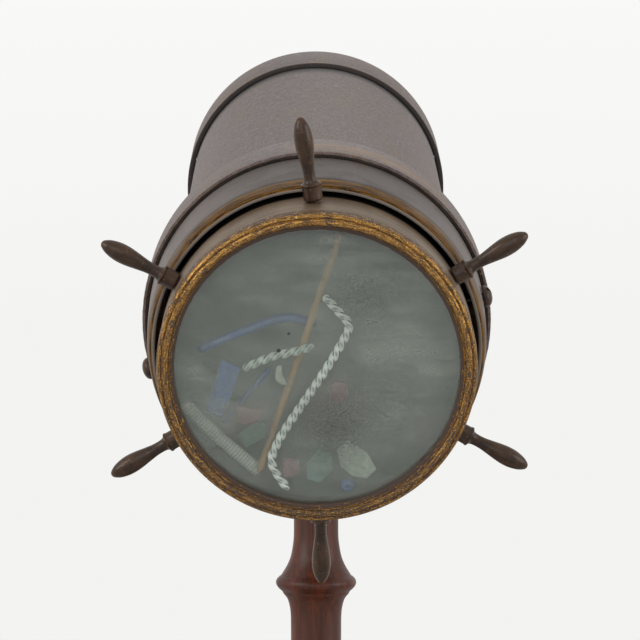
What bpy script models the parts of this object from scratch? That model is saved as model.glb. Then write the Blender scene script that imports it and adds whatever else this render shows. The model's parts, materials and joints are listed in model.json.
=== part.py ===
"""Parlour kaleidoscope: a pasteboard barrel with mirrors inside, a six-handled object wheel on its
front end, and a turned wooden stand that it tilts on. Metres, +Z up, origin under the middle of the base.

The barrel lies along Y. Its own empties carry it: tilt_pivot is on the tilting bolt, barrel_axis is
on the barrel's centre line in the plane of the front glass, and wheel_axis is where the wheel turns.
Along those empties, y is the distance behind the front glass."""

import math

import bmesh
import bpy
from mathutils import Vector

MM = 0.001
FULL_TURN = 2 * math.pi

# Clearances
GAP = 0.3 * MM              # between pieces that are seated on each other
RUN = 0.4 * MM              # between pieces that turn on each other
PLAY = 0.6 * MM             # end play of the object wheel
OVERRUN = 2 * MM            # how far a cutter stands past what it cuts
WELD = 0.001 * MM           # points closer than this are one point

# How finely round pieces are divided
RING_SIDES = 32
BASE_SIDES = 32
COLUMN_SIDES = 20
SMALL_SIDES = 12
SCREW_SIDES = 8
HANDLE_SIDES = 8
SHARP_ANGLE = math.radians(35)
DOME_DEGREES = (15, 40, 65)         # where a screw's domed head has its rings

# Layout
TILT = math.radians(16)             # the barrel's slope at rest, eye end up
PIVOT_HEIGHT = 198 * MM             # tilting bolt above the table
PIVOT_BEHIND_GLASS = 116 * MM       # along the barrel

# Barrel
BARREL_LENGTH = 264 * MM            # front glass to the end of the rear band
TUBE_INSET = 1.6 * MM               # tube inside the drum's radius
TUBE_WALL = 1.5 * MM
COVER_THICKNESS = 0.6 * MM          # embossed covering cloth
BAND_LENGTH = 26.2 * MM
BAND_WALL = 1.8 * MM
BAND_EDGE = 0.5 * MM
END_DISC_THICKNESS = 2.6 * MM
END_PLUG_LENGTH = 9 * MM

# Shoulder and collar
SHOULDER_START = 50.6 * MM
SHOULDER_LENGTH = 20.5 * MM
COLLAR_OPENING = 1.6 * MM           # between the drum and the rolled lip
COLLAR_LINE_RISE = 2.9 * MM         # from the lip's opening to where the gilt line ends
COLLAR_TAPER = 0.9 * MM             # from there to the rear
COLLAR_FRONT = 20 * MM
COLLAR_LINE_END = 27.5 * MM
COLLAR_WALL = 0.8 * MM
COLLAR_TAIL = 15 * MM               # held inside the shoulder
LIP_R = 0.9 * MM
SLEEVE_WALL = 0.8 * MM
RING_FLANGE = 4 * MM
SPIGOT_WALL = 3.1 * MM
SPIGOT_FRONT = 27 * MM
RING_SLACK = 0.4 * MM               # extra room under the tapering collar

# Object wheel
DRUM_WALL = 0.9 * MM
DRUM_FRONT = 3.2 * MM
DRUM_REAR = 46 * MM
GROOVE_AT = 39 * MM
GROOVE_DEPTH = 1.6 * MM
GROOVE_FLOOR = 3.6 * MM
GROOVE_SLOPE = 1.8 * MM
BEZEL_PROUD = 0.1 * MM              # outside the drum
BEZEL_WIDTH = 5.3 * MM
BEZEL_RISE = 2.6 * MM               # crest in front of the glass
BEZEL_BACK = 2.9 * MM
BEZEL_SPIGOT = 4 * MM
BEZEL_SPIGOT_WALL = 0.6 * MM
# Shares of the moulding's width and rise: a quirk, a round crest, a hollow and a back bead
BEZEL_FACE_SHARES = (
    (0.0, 0.08), (0.06, 0.32), (0.20, 0.42), (0.28, 0.82), (0.44, 1.0), (0.62, 0.92), (0.74, 0.64),
    (0.88, 0.56), (0.98, 0.25),
)
FRONT_GLASS_THICKNESS = 2.2 * MM
FRONT_GLASS_FACE = 0.7 * MM
GLASS_IN_BEZEL = 0.4 * MM
CELL_DEPTH = 14.5 * MM
SPACER_WALL = 0.8 * MM
REAR_GLASS_THICKNESS = 2 * MM
STAY_RING_WALL = 1.9 * MM
STAY_RING_LENGTH = 2 * MM

# Handles
HANDLE_COUNT = 6
HANDLE_PHASE = math.radians(31.2)
HANDLE_AT = 13 * MM
HANDLE_LENGTH = 25.8 * MM
HANDLE_R = 3 * MM
HANDLE_TENON_R = 1.2 * MM
HANDLE_TENON_LENGTH = 1.1 * MM
HANDLE_HOLE_SLACK = 0.45 * MM
LEANING_HANDLE = 1
HANDLE_LEAN = math.radians(8)       # one handle stands askew in its hole
# Shares of a handle's length and of its radius, from the drum outwards
HANDLE_OUTLINE_SHARES = (
    (0.0, 0.90), (0.02, 1.0), (0.17, 1.0), (0.195, 0.90), (0.225, 0.72), (0.27, 0.60), (0.36, 0.62),
    (0.48, 0.76), (0.60, 0.92), (0.70, 0.98), (0.80, 0.93), (0.90, 0.70), (0.97, 0.38), (1.0, 0.12),
)

# Retaining screws
SCREW_ANGLE = math.radians(12.6)
SCREW_COUNT = 2
SCREW_HEAD_R = 3.5 * MM
SCREW_HEAD_HEIGHT = 2.9 * MM
SCREW_SHANK_R = 1.3 * MM

# Mirrors and what holds them
MIRROR_HALF_ANGLE = math.radians(15)
MIRROR_WIDTH = 74 * MM
MIRROR_THICKNESS = 2 * MM
MIRROR_APEX_SHARE = 0.527           # how much of a mirror's width lies below the axis
MIRROR_SETBACK = 1.6 * MM           # behind the spigot's front
MIRROR_END_ROOM = 18 * MM           # before the barrel's end
CRADLE_RIM = 2.35 * MM              # around the mirrors' outer corners
SHADE_THICKNESS = 1.2 * MM
MASK_THICKNESS = 1 * MM
MASK_LAP = 2 * MM
EYE_HOLE_R = 6 * MM
CRADLE_THICKNESS = 6 * MM
CRADLE_INSET = 6 * MM
PACK_SLACK = 0.4 * MM

# Eyepiece
EYEPIECE_R = 15 * MM
EYEPIECE_BARREL_R = 9 * MM
EYEPIECE_BORE_R = 4.5 * MM
EYEPIECE_FLANGE = 2.4 * MM
EYEPIECE_EDGE = 0.8 * MM
EYEPIECE_ROUNDING = 1.2 * MM
EYEPIECE_DISH_R = 10.5 * MM
EYEPIECE_LENGTH = 10 * MM
EYE_GLASS_R = 7.2 * MM
EYE_GLASS_THICKNESS = 1.6 * MM
EYE_STAY_WALL = 1.4 * MM
EYE_STAY_LENGTH = 2.6 * MM

# Saddle under the barrel
SADDLE_THICKNESS = 1.8 * MM
SADDLE_LENGTH = 48 * MM
SADDLE_HALF_ANGLE = math.radians(18)
# Shares of half its length and of its half angle
SADDLE_OUTLINE_SHARES = (
    (-1, 0.45), (-0.92, 0.72), (-0.75, 0.93), (-0.4, 1), (0.4, 1), (0.75, 0.93), (0.92, 0.72), (1, 0.45),
)
SADDLE_ACROSS = 6
SADDLE_SCREW_STEP = 17 * MM
SADDLE_SCREW_ANGLE = math.radians(9.5)
SADDLE_SCREW_R = 1.1 * MM
SADDLE_SCREW_HEAD_R = 2.5 * MM
SADDLE_SCREW_HEAD = 1.3 * MM
SADDLE_SCREW_TIP_INSET = 0.4 * MM
LUG_THICKNESS = 7.4 * MM
LUG_R = 6.2 * MM
LUG_REACH = 9.7 * MM                # from the plate to the bolt
LUG_FLARE = 11 * MM

# Fork, bolt and thumb nut
EAR_R = 6 * MM
EAR_THICKNESS = 3.6 * MM
EAR_ROOT = 5.4 * MM
FORK_FLOOR_DROP = 9.5 * MM          # top of the cup below the bolt
FORK_CUP_R = 9.3 * MM
FORK_CUP_DEPTH = 13.5 * MM
FORK_FLOOR = 4 * MM
FORK_RIM = 0.7 * MM
FORK_SINK = 1 * MM
FORK_PIN_R = 0.9 * MM
FORK_PIN_HEAD_R = 1.8 * MM
FORK_PIN_HEAD = 0.9 * MM
FORK_PIN_DEPTH = 4 * MM
BOLT_R = 2.9 * MM
BOLT_HEAD_R = 5.2 * MM
BOLT_HEAD = 2.8 * MM
BOLT_CROWN_SHARE = 0.8
BOLT_CHAMFER = 1 * MM
BOLT_END = 1.6 * MM                 # stands out of the thumb nut
WASHER_R = 5.6 * MM
WASHER_THICKNESS = 1 * MM
NUT_R = 5 * MM
NUT_LENGTH = 6.5 * MM
NUT_END_SHARE = 0.84                # the hub narrows to this share
WING_REACH = 9.5 * MM
WING_THICKNESS = 2 * MM
WING_START_INSET = 1 * MM
WING_END_INSET = 0.5 * MM
WING_ANGLE = math.radians(20)

# Column
COLUMN_NECK_R = 7.8 * MM
COLUMN_TOP_TENON_R = 7.4 * MM
BEAD_BELOW_PIVOT = 52 * MM          # widest line of the bead
BEAD_R = 14.1 * MM
COLUMN_WAIST_R = 8.8 * MM
COLUMN_FOOT_R = 21 * MM
FOOT_HEIGHT = 22 * MM
VASE_R = 13.5 * MM
BEAD_REACH = 21 * MM                # the mouldings above and below the bead
# Shares of BEAD_REACH from the bead's widest line, and of the way from the shaft to the bead
ABOVE_BEAD_SHARES = (
    (0.0, 1.0), (0.055, 0.95), (0.10, 0.80), (0.105, 0.74), (0.18, 0.58), (0.30, 0.35),
    (0.45, 0.16), (0.68, 0.03),
)
BELOW_BEAD_SHARES = (
    (0.60, 0.01), (0.44, 0.06), (0.29, 0.21), (0.205, 0.41), (0.20, 0.49), (0.145, 0.58), (0.07, 0.91),
)
# Shares of the height between the foot and the lower shaft, and of the vase's radius
VASE_SHARES = (
    (0.0, 0.80), (0.06, 0.80), (0.10, 0.70), (0.22, 0.76), (0.40, 0.95), (0.54, 1.0), (0.74, 0.84),
    (0.90, 0.70),
)
# Shares of the foot's height and of its radius
FOOT_SHARES = ((0.0, 0.96), (0.10, 1.0), (0.28, 0.97), (0.36, 0.84), (0.55, 0.62), (0.8, 0.5))

# Base
BASE_R = 75 * MM
BASE_HEIGHT = 20 * MM
BASE_SOCKET_DEPTH = 15 * MM
COLUMN_TENON_R = 6 * MM
# Shares of the base's radius and height, up its edge and in over the top
BASE_OUTLINE_SHARES = (
    (0.975, 0.0), (1.0, 0.07), (1.0, 0.30), (0.98, 0.42), (0.915, 0.50), (0.90, 0.56), (0.82, 0.62),
    (0.66, 0.70), (0.52, 0.80), (0.44, 0.93), (0.40, 1.0),
)

# Loose pieces in the wheel. Their places are shares of the sight radius, across and up.
TWISTED_ROD_R = 1.4 * MM
TWIST_LENGTH = 9.6 * MM
TWIST_STEP = 1.6 * MM
STRAIGHT_STEP = 19.2 * MM           # between the sections of straight, thin and bent rods
THIN_STEP = 12.8 * MM
BENT_STEP = 4.8 * MM
LONG_ROD_SHARES = (
    (0.046, 0.499), (0.152, 0.383), (0.222, 0.282), (0.173, 0.159), (0.060, -0.037),
    (-0.065, -0.231), (-0.189, -0.418), (-0.282, -0.584), (-0.316, -0.730), (-0.203, -0.924),
)
SHORT_ROD_SHARES = ((-0.517, -0.030), (-0.316, 0.058), (-0.155, 0.095), (-0.020, 0.140))
STRAIGHT_ROD_R = 1.1 * MM
AMBER_ROD_SHARES = ((0.165, 0.93), (-0.406, -0.808))
BLUE_ROD_R = 0.8 * MM
BLUE_ROD_SHARES = ((-0.330, -0.045), (-0.658, -0.441))
BLUE_BEND_SHARES = ((-0.824, 0.070), (-0.52, 0.20), (-0.219, 0.300), (0.0, 0.25))
RIBBED_ROD_R = 1.3 * MM
RIBBED_ROD_SHARES = ((-0.90, -0.28), (-0.72, -0.48), (-0.52, -0.66), (-0.36, -0.80))
CHIP_THICKNESS = 1.1 * MM
# Each chip's name, colour, layer and corners
CHIP_SHARES = (
    ("blue_chip", "blue_glass", 0, ((-0.686, 0.030), (-0.776, -0.339), (-0.672, -0.360), (-0.545, -0.021))),
    ("white_chip", "white_glass", 0, ((-0.28, -0.03), (-0.30, -0.12), (-0.23, -0.14), (-0.21, -0.05))),
    ("green_chip", "green_glass", 0, (
        (-0.56, -0.50), (-0.50, -0.60), (-0.36, -0.52), (-0.37, -0.41), (-0.45, -0.42))),
    ("red_chip", "red_glass", 1, ((-0.57, -0.30), (-0.55, -0.42), (-0.42, -0.46), (-0.38, -0.33))),
    ("pink_chip", "red_glass", 0, ((0.10, -0.12), (0.08, -0.24), (0.19, -0.27), (0.22, -0.13))),
    ("rose_chip", "red_glass", 0, ((-0.24, -0.68), (-0.24, -0.82), (-0.12, -0.80), (-0.13, -0.69))),
    ("teal_chip", "teal_glass", 0, ((0.0, -0.60), (-0.02, -0.76), (0.13, -0.66))),
    ("pale_chip", "white_glass", 0, ((0.17, -0.56), (0.16, -0.75), (0.42, -0.70))),
)
BEAD_PIECE_R = 1.6 * MM
BEAD_HOLE_R = 0.5 * MM
BEAD_PIECE_SHARES = (0.215, -0.889)

# Sizes that follow. The mirrors set the bore, and the wheel, the collar and the tube go around it.
MIRROR_APEX_DROP = MIRROR_APEX_SHARE * MIRROR_WIDTH     # the closed edge of the V below the axis
PACK_HALF_WIDTH = (GAP + MIRROR_WIDTH * math.sin(MIRROR_HALF_ANGLE)
                   + MIRROR_THICKNESS * math.cos(MIRROR_HALF_ANGLE))
PACK_TOP = (MIRROR_WIDTH * math.cos(MIRROR_HALF_ANGLE) - MIRROR_APEX_DROP + GAP + SHADE_THICKNESS)
SPIGOT_BORE_R = math.hypot(PACK_HALF_WIDTH, PACK_TOP) + CRADLE_RIM
SPIGOT_R = SPIGOT_BORE_R + SPIGOT_WALL
GROOVE_R = SPIGOT_R + RUN + DRUM_WALL
DRUM_R = GROOVE_R + GROOVE_DEPTH
DRUM_INNER_R = DRUM_R - DRUM_WALL
BEZEL_R = DRUM_R + BEZEL_PROUD
SIGHT_R = BEZEL_R - BEZEL_WIDTH                         # the glass that shows inside the bezel
COLLAR_MOUTH_R = DRUM_R + COLLAR_OPENING
COLLAR_LINE_R = COLLAR_MOUTH_R + COLLAR_LINE_RISE
COLLAR_REAR_R = COLLAR_LINE_R + COLLAR_TAPER
TUBE_OUTER_R = DRUM_R - TUBE_INSET
BARREL_COVER_R = TUBE_OUTER_R + GAP + COVER_THICKNESS
SADDLE_R = BARREL_COVER_R + GAP
SADDLE_OUTER_R = SADDLE_R + SADDLE_THICKNESS
AXIS_ABOVE_PIVOT = SADDLE_OUTER_R + LUG_REACH           # square to the barrel
BEAD_HEIGHT = PIVOT_HEIGHT - BEAD_BELOW_PIVOT
MIRROR_FRONT = SPIGOT_FRONT + MIRROR_SETBACK
MIRROR_REAR = BARREL_LENGTH - MIRROR_END_ROOM
TUBE_INNER_R = TUBE_OUTER_R - TUBE_WALL
BAND_START = BARREL_LENGTH - BAND_LENGTH
TUBE_END = BARREL_LENGTH - END_DISC_THICKNESS - GAP
RING_FACE = DRUM_REAR + PLAY
SHOULDER_END = SHOULDER_START + SHOULDER_LENGTH
COLLAR_INNER_R = COLLAR_REAR_R - COLLAR_WALL
SLEEVE_INNER_R = COLLAR_REAR_R + GAP
SLEEVE_OUTER_R = SLEEVE_INNER_R + SLEEVE_WALL
SHOULDER_COVER_R = SLEEVE_OUTER_R + GAP + COVER_THICKNESS
TUBE_START = RING_FACE + RING_FLANGE
FRONT_GLASS_BACK = FRONT_GLASS_FACE + FRONT_GLASS_THICKNESS
CELL_FRONT = FRONT_GLASS_BACK + GAP
CELL_BACK = CELL_FRONT + CELL_DEPTH
SPACER_R = DRUM_INNER_R - GAP - BEZEL_SPIGOT_WALL - GAP
REAR_GLASS_FACE = CELL_BACK + GAP
STAY_RING_FRONT = REAR_GLASS_FACE + REAR_GLASS_THICKNESS + GAP
EAR_INNER = LUG_THICKNESS / 2 + GAP
EAR_OUTER = EAR_INNER + EAR_THICKNESS
BOLT_HOLE_R = BOLT_R + GAP
FORK_TOP = PIVOT_HEIGHT - FORK_FLOOR_DROP
FORK_BOTTOM = FORK_TOP - FORK_FLOOR - FORK_CUP_DEPTH
CHIP_LAYER = CHIP_THICKNESS + GAP
DOWN = math.radians(270)

# Colour, roughness and metallic of each finish
FINISHES = {
    "mahogany": ("#5B3528", 0.40, 0.0),
    "old_brass": ("#7C6238", 0.45, 1.0),
    "worn_gilt": ("#9A7030", 0.45, 0.9),
    "dark_brass": ("#4A3B2C", 0.50, 0.6),
    "japanned_tin": ("#6E676A", 0.50, 0.3),
    "covering_cloth": ("#6E6464", 0.80, 0.0),
    "pasteboard": ("#4A3B2E", 0.90, 0.0),
    "plain_wood": ("#8A6A48", 0.70, 0.0),
    "black_card": ("#181615", 0.90, 0.0),
    "mirror": ("#C9CDCB", 0.05, 1.0),
    "frosted_glass": ("#8E9B95", 0.50, 0.0),
    "clear_glass": ("#C8D2CE", 0.05, 0.0),
    "steel": ("#55504A", 0.45, 1.0),
    "white_glass": ("#D8DCD6", 0.15, 0.0),
    "amber_glass": ("#A57A3A", 0.15, 0.0),
    "blue_glass": ("#3E5FA8", 0.15, 0.0),
    "green_glass": ("#4F7A58", 0.15, 0.0),
    "red_glass": ("#9A4A4A", 0.15, 0.0),
    "teal_glass": ("#3F7C7C", 0.15, 0.0),
}


def clear_scene():
    for obj in list(bpy.data.objects):
        bpy.data.objects.remove(obj, do_unlink=True)


def linear(hex_colour):
    """A hex colour as linear red, green, blue and alpha."""
    channels = [int(hex_colour[i:i + 2], 16) / 255 for i in (1, 3, 5)]
    return [c / 12.92 if c <= 0.04045 else ((c + 0.055) / 1.055) ** 2.4 for c in channels] + [1.0]


def finish_material(finish):
    material = bpy.data.materials.get(finish)
    if material is None:
        colour, roughness, metallic = FINISHES[finish]
        material = bpy.data.materials.new(finish)
        material.use_nodes = True
        shader = material.node_tree.nodes["Principled BSDF"]
        shader.inputs["Base Color"].default_value = linear(colour)
        shader.inputs["Roughness"].default_value = roughness
        shader.inputs["Metallic"].default_value = metallic
    return material


def empty(name, parent=None, location=(0, 0, 0), rotation=(0, 0, 0)):
    obj = bpy.data.objects.new(name, None)
    bpy.context.scene.collection.objects.link(obj)
    obj.parent = parent
    obj.location = location
    obj.rotation_euler = rotation
    return obj


def finished_object(name, bm, finish, parent, location=(0, 0, 0), rotation=(0, 0, 0)):
    """Put a mesh on a new object. A piece with no finish is a cutter or a guide."""
    bmesh.ops.remove_doubles(bm, verts=bm.verts, dist=WELD)
    bmesh.ops.recalc_face_normals(bm, faces=bm.faces)
    mesh = bpy.data.meshes.new(name)
    bm.to_mesh(mesh)
    bm.free()
    obj = bpy.data.objects.new(name, mesh)
    bpy.context.scene.collection.objects.link(obj)
    obj.parent = parent
    obj.location = location
    obj.rotation_euler = rotation
    if finish is None:
        obj.hide_render = True
        obj.display_type = "WIRE"
    else:
        mesh.materials.append(finish_material(finish))
        mesh.shade_smooth()
        mesh.set_sharp_from_angle(angle=SHARP_ANGLE)
    return obj


LATHE_AXES = {
    "X": (lambda r, along: (along, r, 0), (1, 0, 0)),
    "Y": (lambda r, along: (r, along, 0), (0, 1, 0)),
    "Z": (lambda r, along: (r, 0, along), (0, 0, 1)),
}


def turned(name, outline, sides, finish, parent, axis="Y", bore=True, location=(0, 0, 0),
           rotation=(0, 0, 0)):
    """Spin an outline of (radius, along) points about an axis. With bore, the outline closes on itself."""
    place, spin_axis = LATHE_AXES[axis]
    bm = bmesh.new()
    points = [bm.verts.new(place(r, along)) for r, along in outline]
    pairs = list(zip(points, points[1:]))
    if bore:
        pairs.append((points[-1], points[0]))
    edges = [bm.edges.new(pair) for pair in pairs]
    bmesh.ops.spin(bm, geom=points + edges, cent=(0, 0, 0), axis=spin_axis, dvec=(0, 0, 0),
                   angle=FULL_TURN, steps=sides, use_merge=True, use_duplicate=False)
    return finished_object(name, bm, finish, parent, location, rotation)


def prism(name, outline, start, end, finish, parent, axis="Y", location=(0, 0, 0),
          rotation=(0, 0, 0)):
    """Extrude a flat outline along an axis. Its points are (x, z) along Y, and (y, z) along X."""
    bm = bmesh.new()
    if axis == "Y":
        points = [bm.verts.new((x, start, z)) for x, z in outline]
        step = Vector((0, end - start, 0))
    else:
        points = [bm.verts.new((start, y, z)) for y, z in outline]
        step = Vector((end - start, 0, 0))
    face = bm.faces.new(points)
    moved = bmesh.ops.extrude_face_region(bm, geom=[face])["geom"]
    bmesh.ops.translate(bm, vec=step, verts=[v for v in moved if isinstance(v, bmesh.types.BMVert)])
    return finished_object(name, bm, finish, parent, location, rotation)


def arc(centre, radius, start_degrees, end_degrees, steps):
    """Points of an arc, both ends included."""
    span = end_degrees - start_degrees
    angles = [math.radians(start_degrees + span * i / steps) for i in range(steps + 1)]
    return [(centre[0] + radius * math.cos(a), centre[1] + radius * math.sin(a)) for a in angles]


def combine(target, tool, operation):
    """Cut the tool out of the target, or join it on, and hide the tool."""
    tool.hide_render = True
    tool.display_type = "WIRE"
    modifier = target.modifiers.new(tool.name, "BOOLEAN")
    modifier.operation = operation
    modifier.solver = "EXACT"
    modifier.object = tool


def around(angle, radius, along):
    """A place on the barrel's or the wheel's wall. The angle runs from +X towards +Z."""
    return (radius * math.cos(angle), along, radius * math.sin(angle))


def radial_holes(name, places, hole_r, inner_r, outer_r, parent):
    """One cutter with a round hole through a wall at each (angle, along)."""
    bm = bmesh.new()
    for angle, along in places:
        made = bmesh.ops.create_cone(bm, cap_ends=True, segments=SCREW_SIDES, radius1=hole_r,
                                     radius2=hole_r, depth=outer_r - inner_r)["verts"]
        outward = Vector(around(angle, 1, 0))
        turn = outward.to_track_quat("Z", "Y").to_matrix()
        bmesh.ops.rotate(bm, verts=made, cent=(0, 0, 0), matrix=turn)
        bmesh.ops.translate(bm, verts=made, vec=around(angle, (inner_r + outer_r) / 2, along))
    return finished_object(name, bm, None, parent)


def round_head_screw(name, head_r, head_height, shank_r, shank_length, finish, parent, location,
                     rotation):
    """A screw along +X: domed head outwards, shank inwards, with its seat at x = 0."""
    rises = [math.radians(degrees) for degrees in DOME_DEGREES]
    dome = [(head_r * math.cos(a), head_height * math.sin(a)) for a in rises]
    outline = [(0, -shank_length), (shank_r, -shank_length), (shank_r, 0), (head_r, 0)]
    outline += dome + [(0, head_height)]
    return turned(name, outline, SCREW_SIDES, finish, parent, "X", False, location, rotation)


def make_base():
    socket_r = COLUMN_TENON_R + GAP
    edge = [(BASE_R * r, BASE_HEIGHT * h) for r, h in BASE_OUTLINE_SHARES]
    socket = [(socket_r, BASE_HEIGHT), (socket_r, BASE_HEIGHT - BASE_SOCKET_DEPTH),
              (0, BASE_HEIGHT - BASE_SOCKET_DEPTH)]
    turned("base", [(0, 0)] + edge + socket, BASE_SIDES, "mahogany", None, "Z", False)


def make_column():
    """One turned piece: tenon, foot, vase, lower shaft, bead, neck and the tenon for the fork."""
    foot_bottom = BASE_HEIGHT + GAP
    foot_top = foot_bottom + FOOT_HEIGHT
    tenon_bottom = BASE_HEIGHT - BASE_SOCKET_DEPTH + GAP
    shaft_bottom = BEAD_HEIGHT - BEAD_REACH
    shoulder = FORK_BOTTOM - GAP
    outline = [(0, tenon_bottom), (COLUMN_TENON_R, tenon_bottom), (COLUMN_TENON_R, foot_bottom)]
    outline += [(COLUMN_FOOT_R * r, foot_bottom + FOOT_HEIGHT * h) for h, r in FOOT_SHARES]
    outline += [(VASE_R * r, foot_top + (shaft_bottom - foot_top) * h) for h, r in VASE_SHARES]
    outline += [(COLUMN_WAIST_R, shaft_bottom)]
    outline += [(COLUMN_WAIST_R + (BEAD_R - COLUMN_WAIST_R) * w, BEAD_HEIGHT - BEAD_REACH * h)
                for h, w in BELOW_BEAD_SHARES]
    outline += [(COLUMN_NECK_R + (BEAD_R - COLUMN_NECK_R) * w, BEAD_HEIGHT + BEAD_REACH * h)
                for h, w in ABOVE_BEAD_SHARES]
    top = FORK_TOP - FORK_FLOOR - GAP
    outline += [(COLUMN_NECK_R, shoulder), (COLUMN_TOP_TENON_R, shoulder), (COLUMN_TOP_TENON_R, top)]
    outline += [(0, top)]
    column = turned("column", outline, COLUMN_SIDES, "mahogany", None, "Z", False)
    for hole in fork_pin_holes("column_pin_hole", FORK_PIN_R + GAP):
        combine(column, hole, "DIFFERENCE")


def fork_pin_holes(name, hole_r):
    """Cutters for the two pins that hold the cup on the column, along X on both sides."""
    height = FORK_BOTTOM + FORK_CUP_DEPTH / 2
    inner = FORK_CUP_R - FORK_PIN_DEPTH - GAP
    outer = FORK_CUP_R + OVERRUN
    outline = [(0, inner), (hole_r, inner), (hole_r, outer), (0, outer)]
    place = (0, 0, height)
    return [turned(f"{name}_{side}", outline, SCREW_SIDES, None, None, "X", False, place,
                   (0, 0, side * math.pi)) for side in range(2)]


def make_fork():
    """A brass cup over the column's tenon with two ears for the tilting bolt."""
    wall_r = COLUMN_TOP_TENON_R + GAP
    floor = FORK_TOP - FORK_FLOOR
    cup = [(wall_r, FORK_BOTTOM), (FORK_CUP_R, FORK_BOTTOM), (FORK_CUP_R + FORK_RIM, FORK_BOTTOM + FORK_RIM),
           (FORK_CUP_R, FORK_BOTTOM + 2 * FORK_RIM), (FORK_CUP_R, FORK_TOP - FORK_RIM),
           (FORK_CUP_R - FORK_RIM, FORK_TOP), (0, FORK_TOP), (0, floor), (wall_r, floor)]
    fork = turned("pivot_fork", cup, COLUMN_SIDES, "old_brass", None, "Z", False)
    # The open chain above starts and ends on the cup's rim, so the last face closes it
    close_rim(fork.data)
    ear = [(EAR_ROOT, -FORK_FLOOR_DROP - FORK_SINK)] + arc((0, 0), EAR_R, 0, 180, 8)
    ear += [(-EAR_ROOT, -FORK_FLOOR_DROP - FORK_SINK)]
    for side in (-1, 1):
        start, end = sorted((side * EAR_INNER, side * EAR_OUTER))
        tool = prism(f"fork_ear_{side + 1}", ear, start, end, None, None, "X", (0, 0, PIVOT_HEIGHT))
        combine(fork, tool, "UNION")
    reach = EAR_OUTER + OVERRUN
    hole = [(0, -reach), (BOLT_HOLE_R, -reach), (BOLT_HOLE_R, reach), (0, reach)]
    bolt_hole = turned("fork_bolt_hole", hole, SMALL_SIDES, None, None, "X", False, (0, 0, PIVOT_HEIGHT))
    combine(fork, bolt_hole, "DIFFERENCE")
    for hole in fork_pin_holes("fork_pin_hole", FORK_PIN_R + GAP):
        combine(fork, hole, "DIFFERENCE")


def close_rim(mesh):
    """Bridge the two rings of open edges that an open outline leaves."""
    bm = bmesh.new()
    bm.from_mesh(mesh)
    open_edges = [e for e in bm.edges if e.is_boundary]
    if open_edges:
        bmesh.ops.bridge_loops(bm, edges=open_edges)
    bmesh.ops.recalc_face_normals(bm, faces=bm.faces)
    bm.to_mesh(mesh)
    bm.free()


def make_fork_pins():
    seat = FORK_CUP_R + GAP
    height = FORK_BOTTOM + FORK_CUP_DEPTH / 2
    for side, name in enumerate(("fork_pin_right", "fork_pin_left")):
        spin = side * math.pi
        place = (seat * math.cos(spin), 0, height)
        round_head_screw(name, FORK_PIN_HEAD_R, FORK_PIN_HEAD, FORK_PIN_R, FORK_PIN_DEPTH,
                         "old_brass", None, place, (0, 0, spin))


def make_bolt_and_nut():
    head_seat = EAR_OUTER + GAP
    washer_at = EAR_OUTER + GAP
    nut_at = washer_at + WASHER_THICKNESS + GAP
    bolt_end = nut_at + NUT_LENGTH + BOLT_END
    crown = BOLT_HEAD_R * BOLT_CROWN_SHARE
    bolt = [(0, -head_seat - BOLT_HEAD), (crown, -head_seat - BOLT_HEAD),
            (BOLT_HEAD_R, -head_seat - BOLT_HEAD / 2), (BOLT_HEAD_R, -head_seat), (BOLT_R, -head_seat),
            (BOLT_R, bolt_end - BOLT_CHAMFER), (BOLT_R - BOLT_CHAMFER, bolt_end), (0, bolt_end)]
    pivot = (0, 0, PIVOT_HEIGHT)
    turned("pivot_bolt", bolt, SMALL_SIDES, "steel", None, "X", False, pivot)
    washer = [(BOLT_HOLE_R, washer_at), (WASHER_R, washer_at), (WASHER_R, washer_at + WASHER_THICKNESS),
              (BOLT_HOLE_R, washer_at + WASHER_THICKNESS)]
    turned("pivot_washer", washer, SMALL_SIDES, "old_brass", None, "X", True, pivot)
    hub = [(BOLT_HOLE_R, nut_at), (NUT_R, nut_at), (NUT_R, nut_at + NUT_LENGTH / 2),
           (NUT_R * NUT_END_SHARE, nut_at + NUT_LENGTH), (BOLT_HOLE_R, nut_at + NUT_LENGTH)]
    nut = turned("thumb_nut", hub, SMALL_SIDES, "old_brass", None, "X", True, pivot)
    # Wings as two rounded leaves that grow out of the hub
    root = NUT_R * NUT_END_SHARE
    half = WING_THICKNESS / 2
    wing = [(root, -half)] + arc((WING_REACH - half, 0), half, -90, 90, 4) + [(root, half)]
    start = nut_at + WING_START_INSET
    end = nut_at + NUT_LENGTH - WING_END_INSET
    for side in (0, 1):
        turn = (WING_ANGLE + side * math.pi, 0, 0)
        tool = prism(f"nut_wing_{side}", wing, start, end, None, None, "X", pivot, turn)
        combine(nut, tool, "UNION")


def make_barrel_tube(axis):
    start = TUBE_START + GAP
    outline = [(TUBE_OUTER_R, start), (TUBE_OUTER_R, TUBE_END), (TUBE_INNER_R, TUBE_END),
               (TUBE_INNER_R, start)]
    tube = turned("barrel_tube", outline, RING_SIDES, "pasteboard", axis)
    inner = TUBE_OUTER_R + GAP
    cloth = [(BARREL_COVER_R, SHOULDER_END + GAP), (BARREL_COVER_R, TUBE_END), (inner, TUBE_END),
             (inner, SHOULDER_END + GAP)]
    cover = turned("barrel_cover", cloth, RING_SIDES, "covering_cloth", axis)
    holes = radial_holes("saddle_screw_holes", saddle_screw_places(), SADDLE_SCREW_R + GAP,
                         TUBE_INNER_R - OVERRUN, BARREL_COVER_R + OVERRUN, axis)
    combine(tube, holes, "DIFFERENCE")
    combine(cover, holes, "DIFFERENCE")


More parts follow.
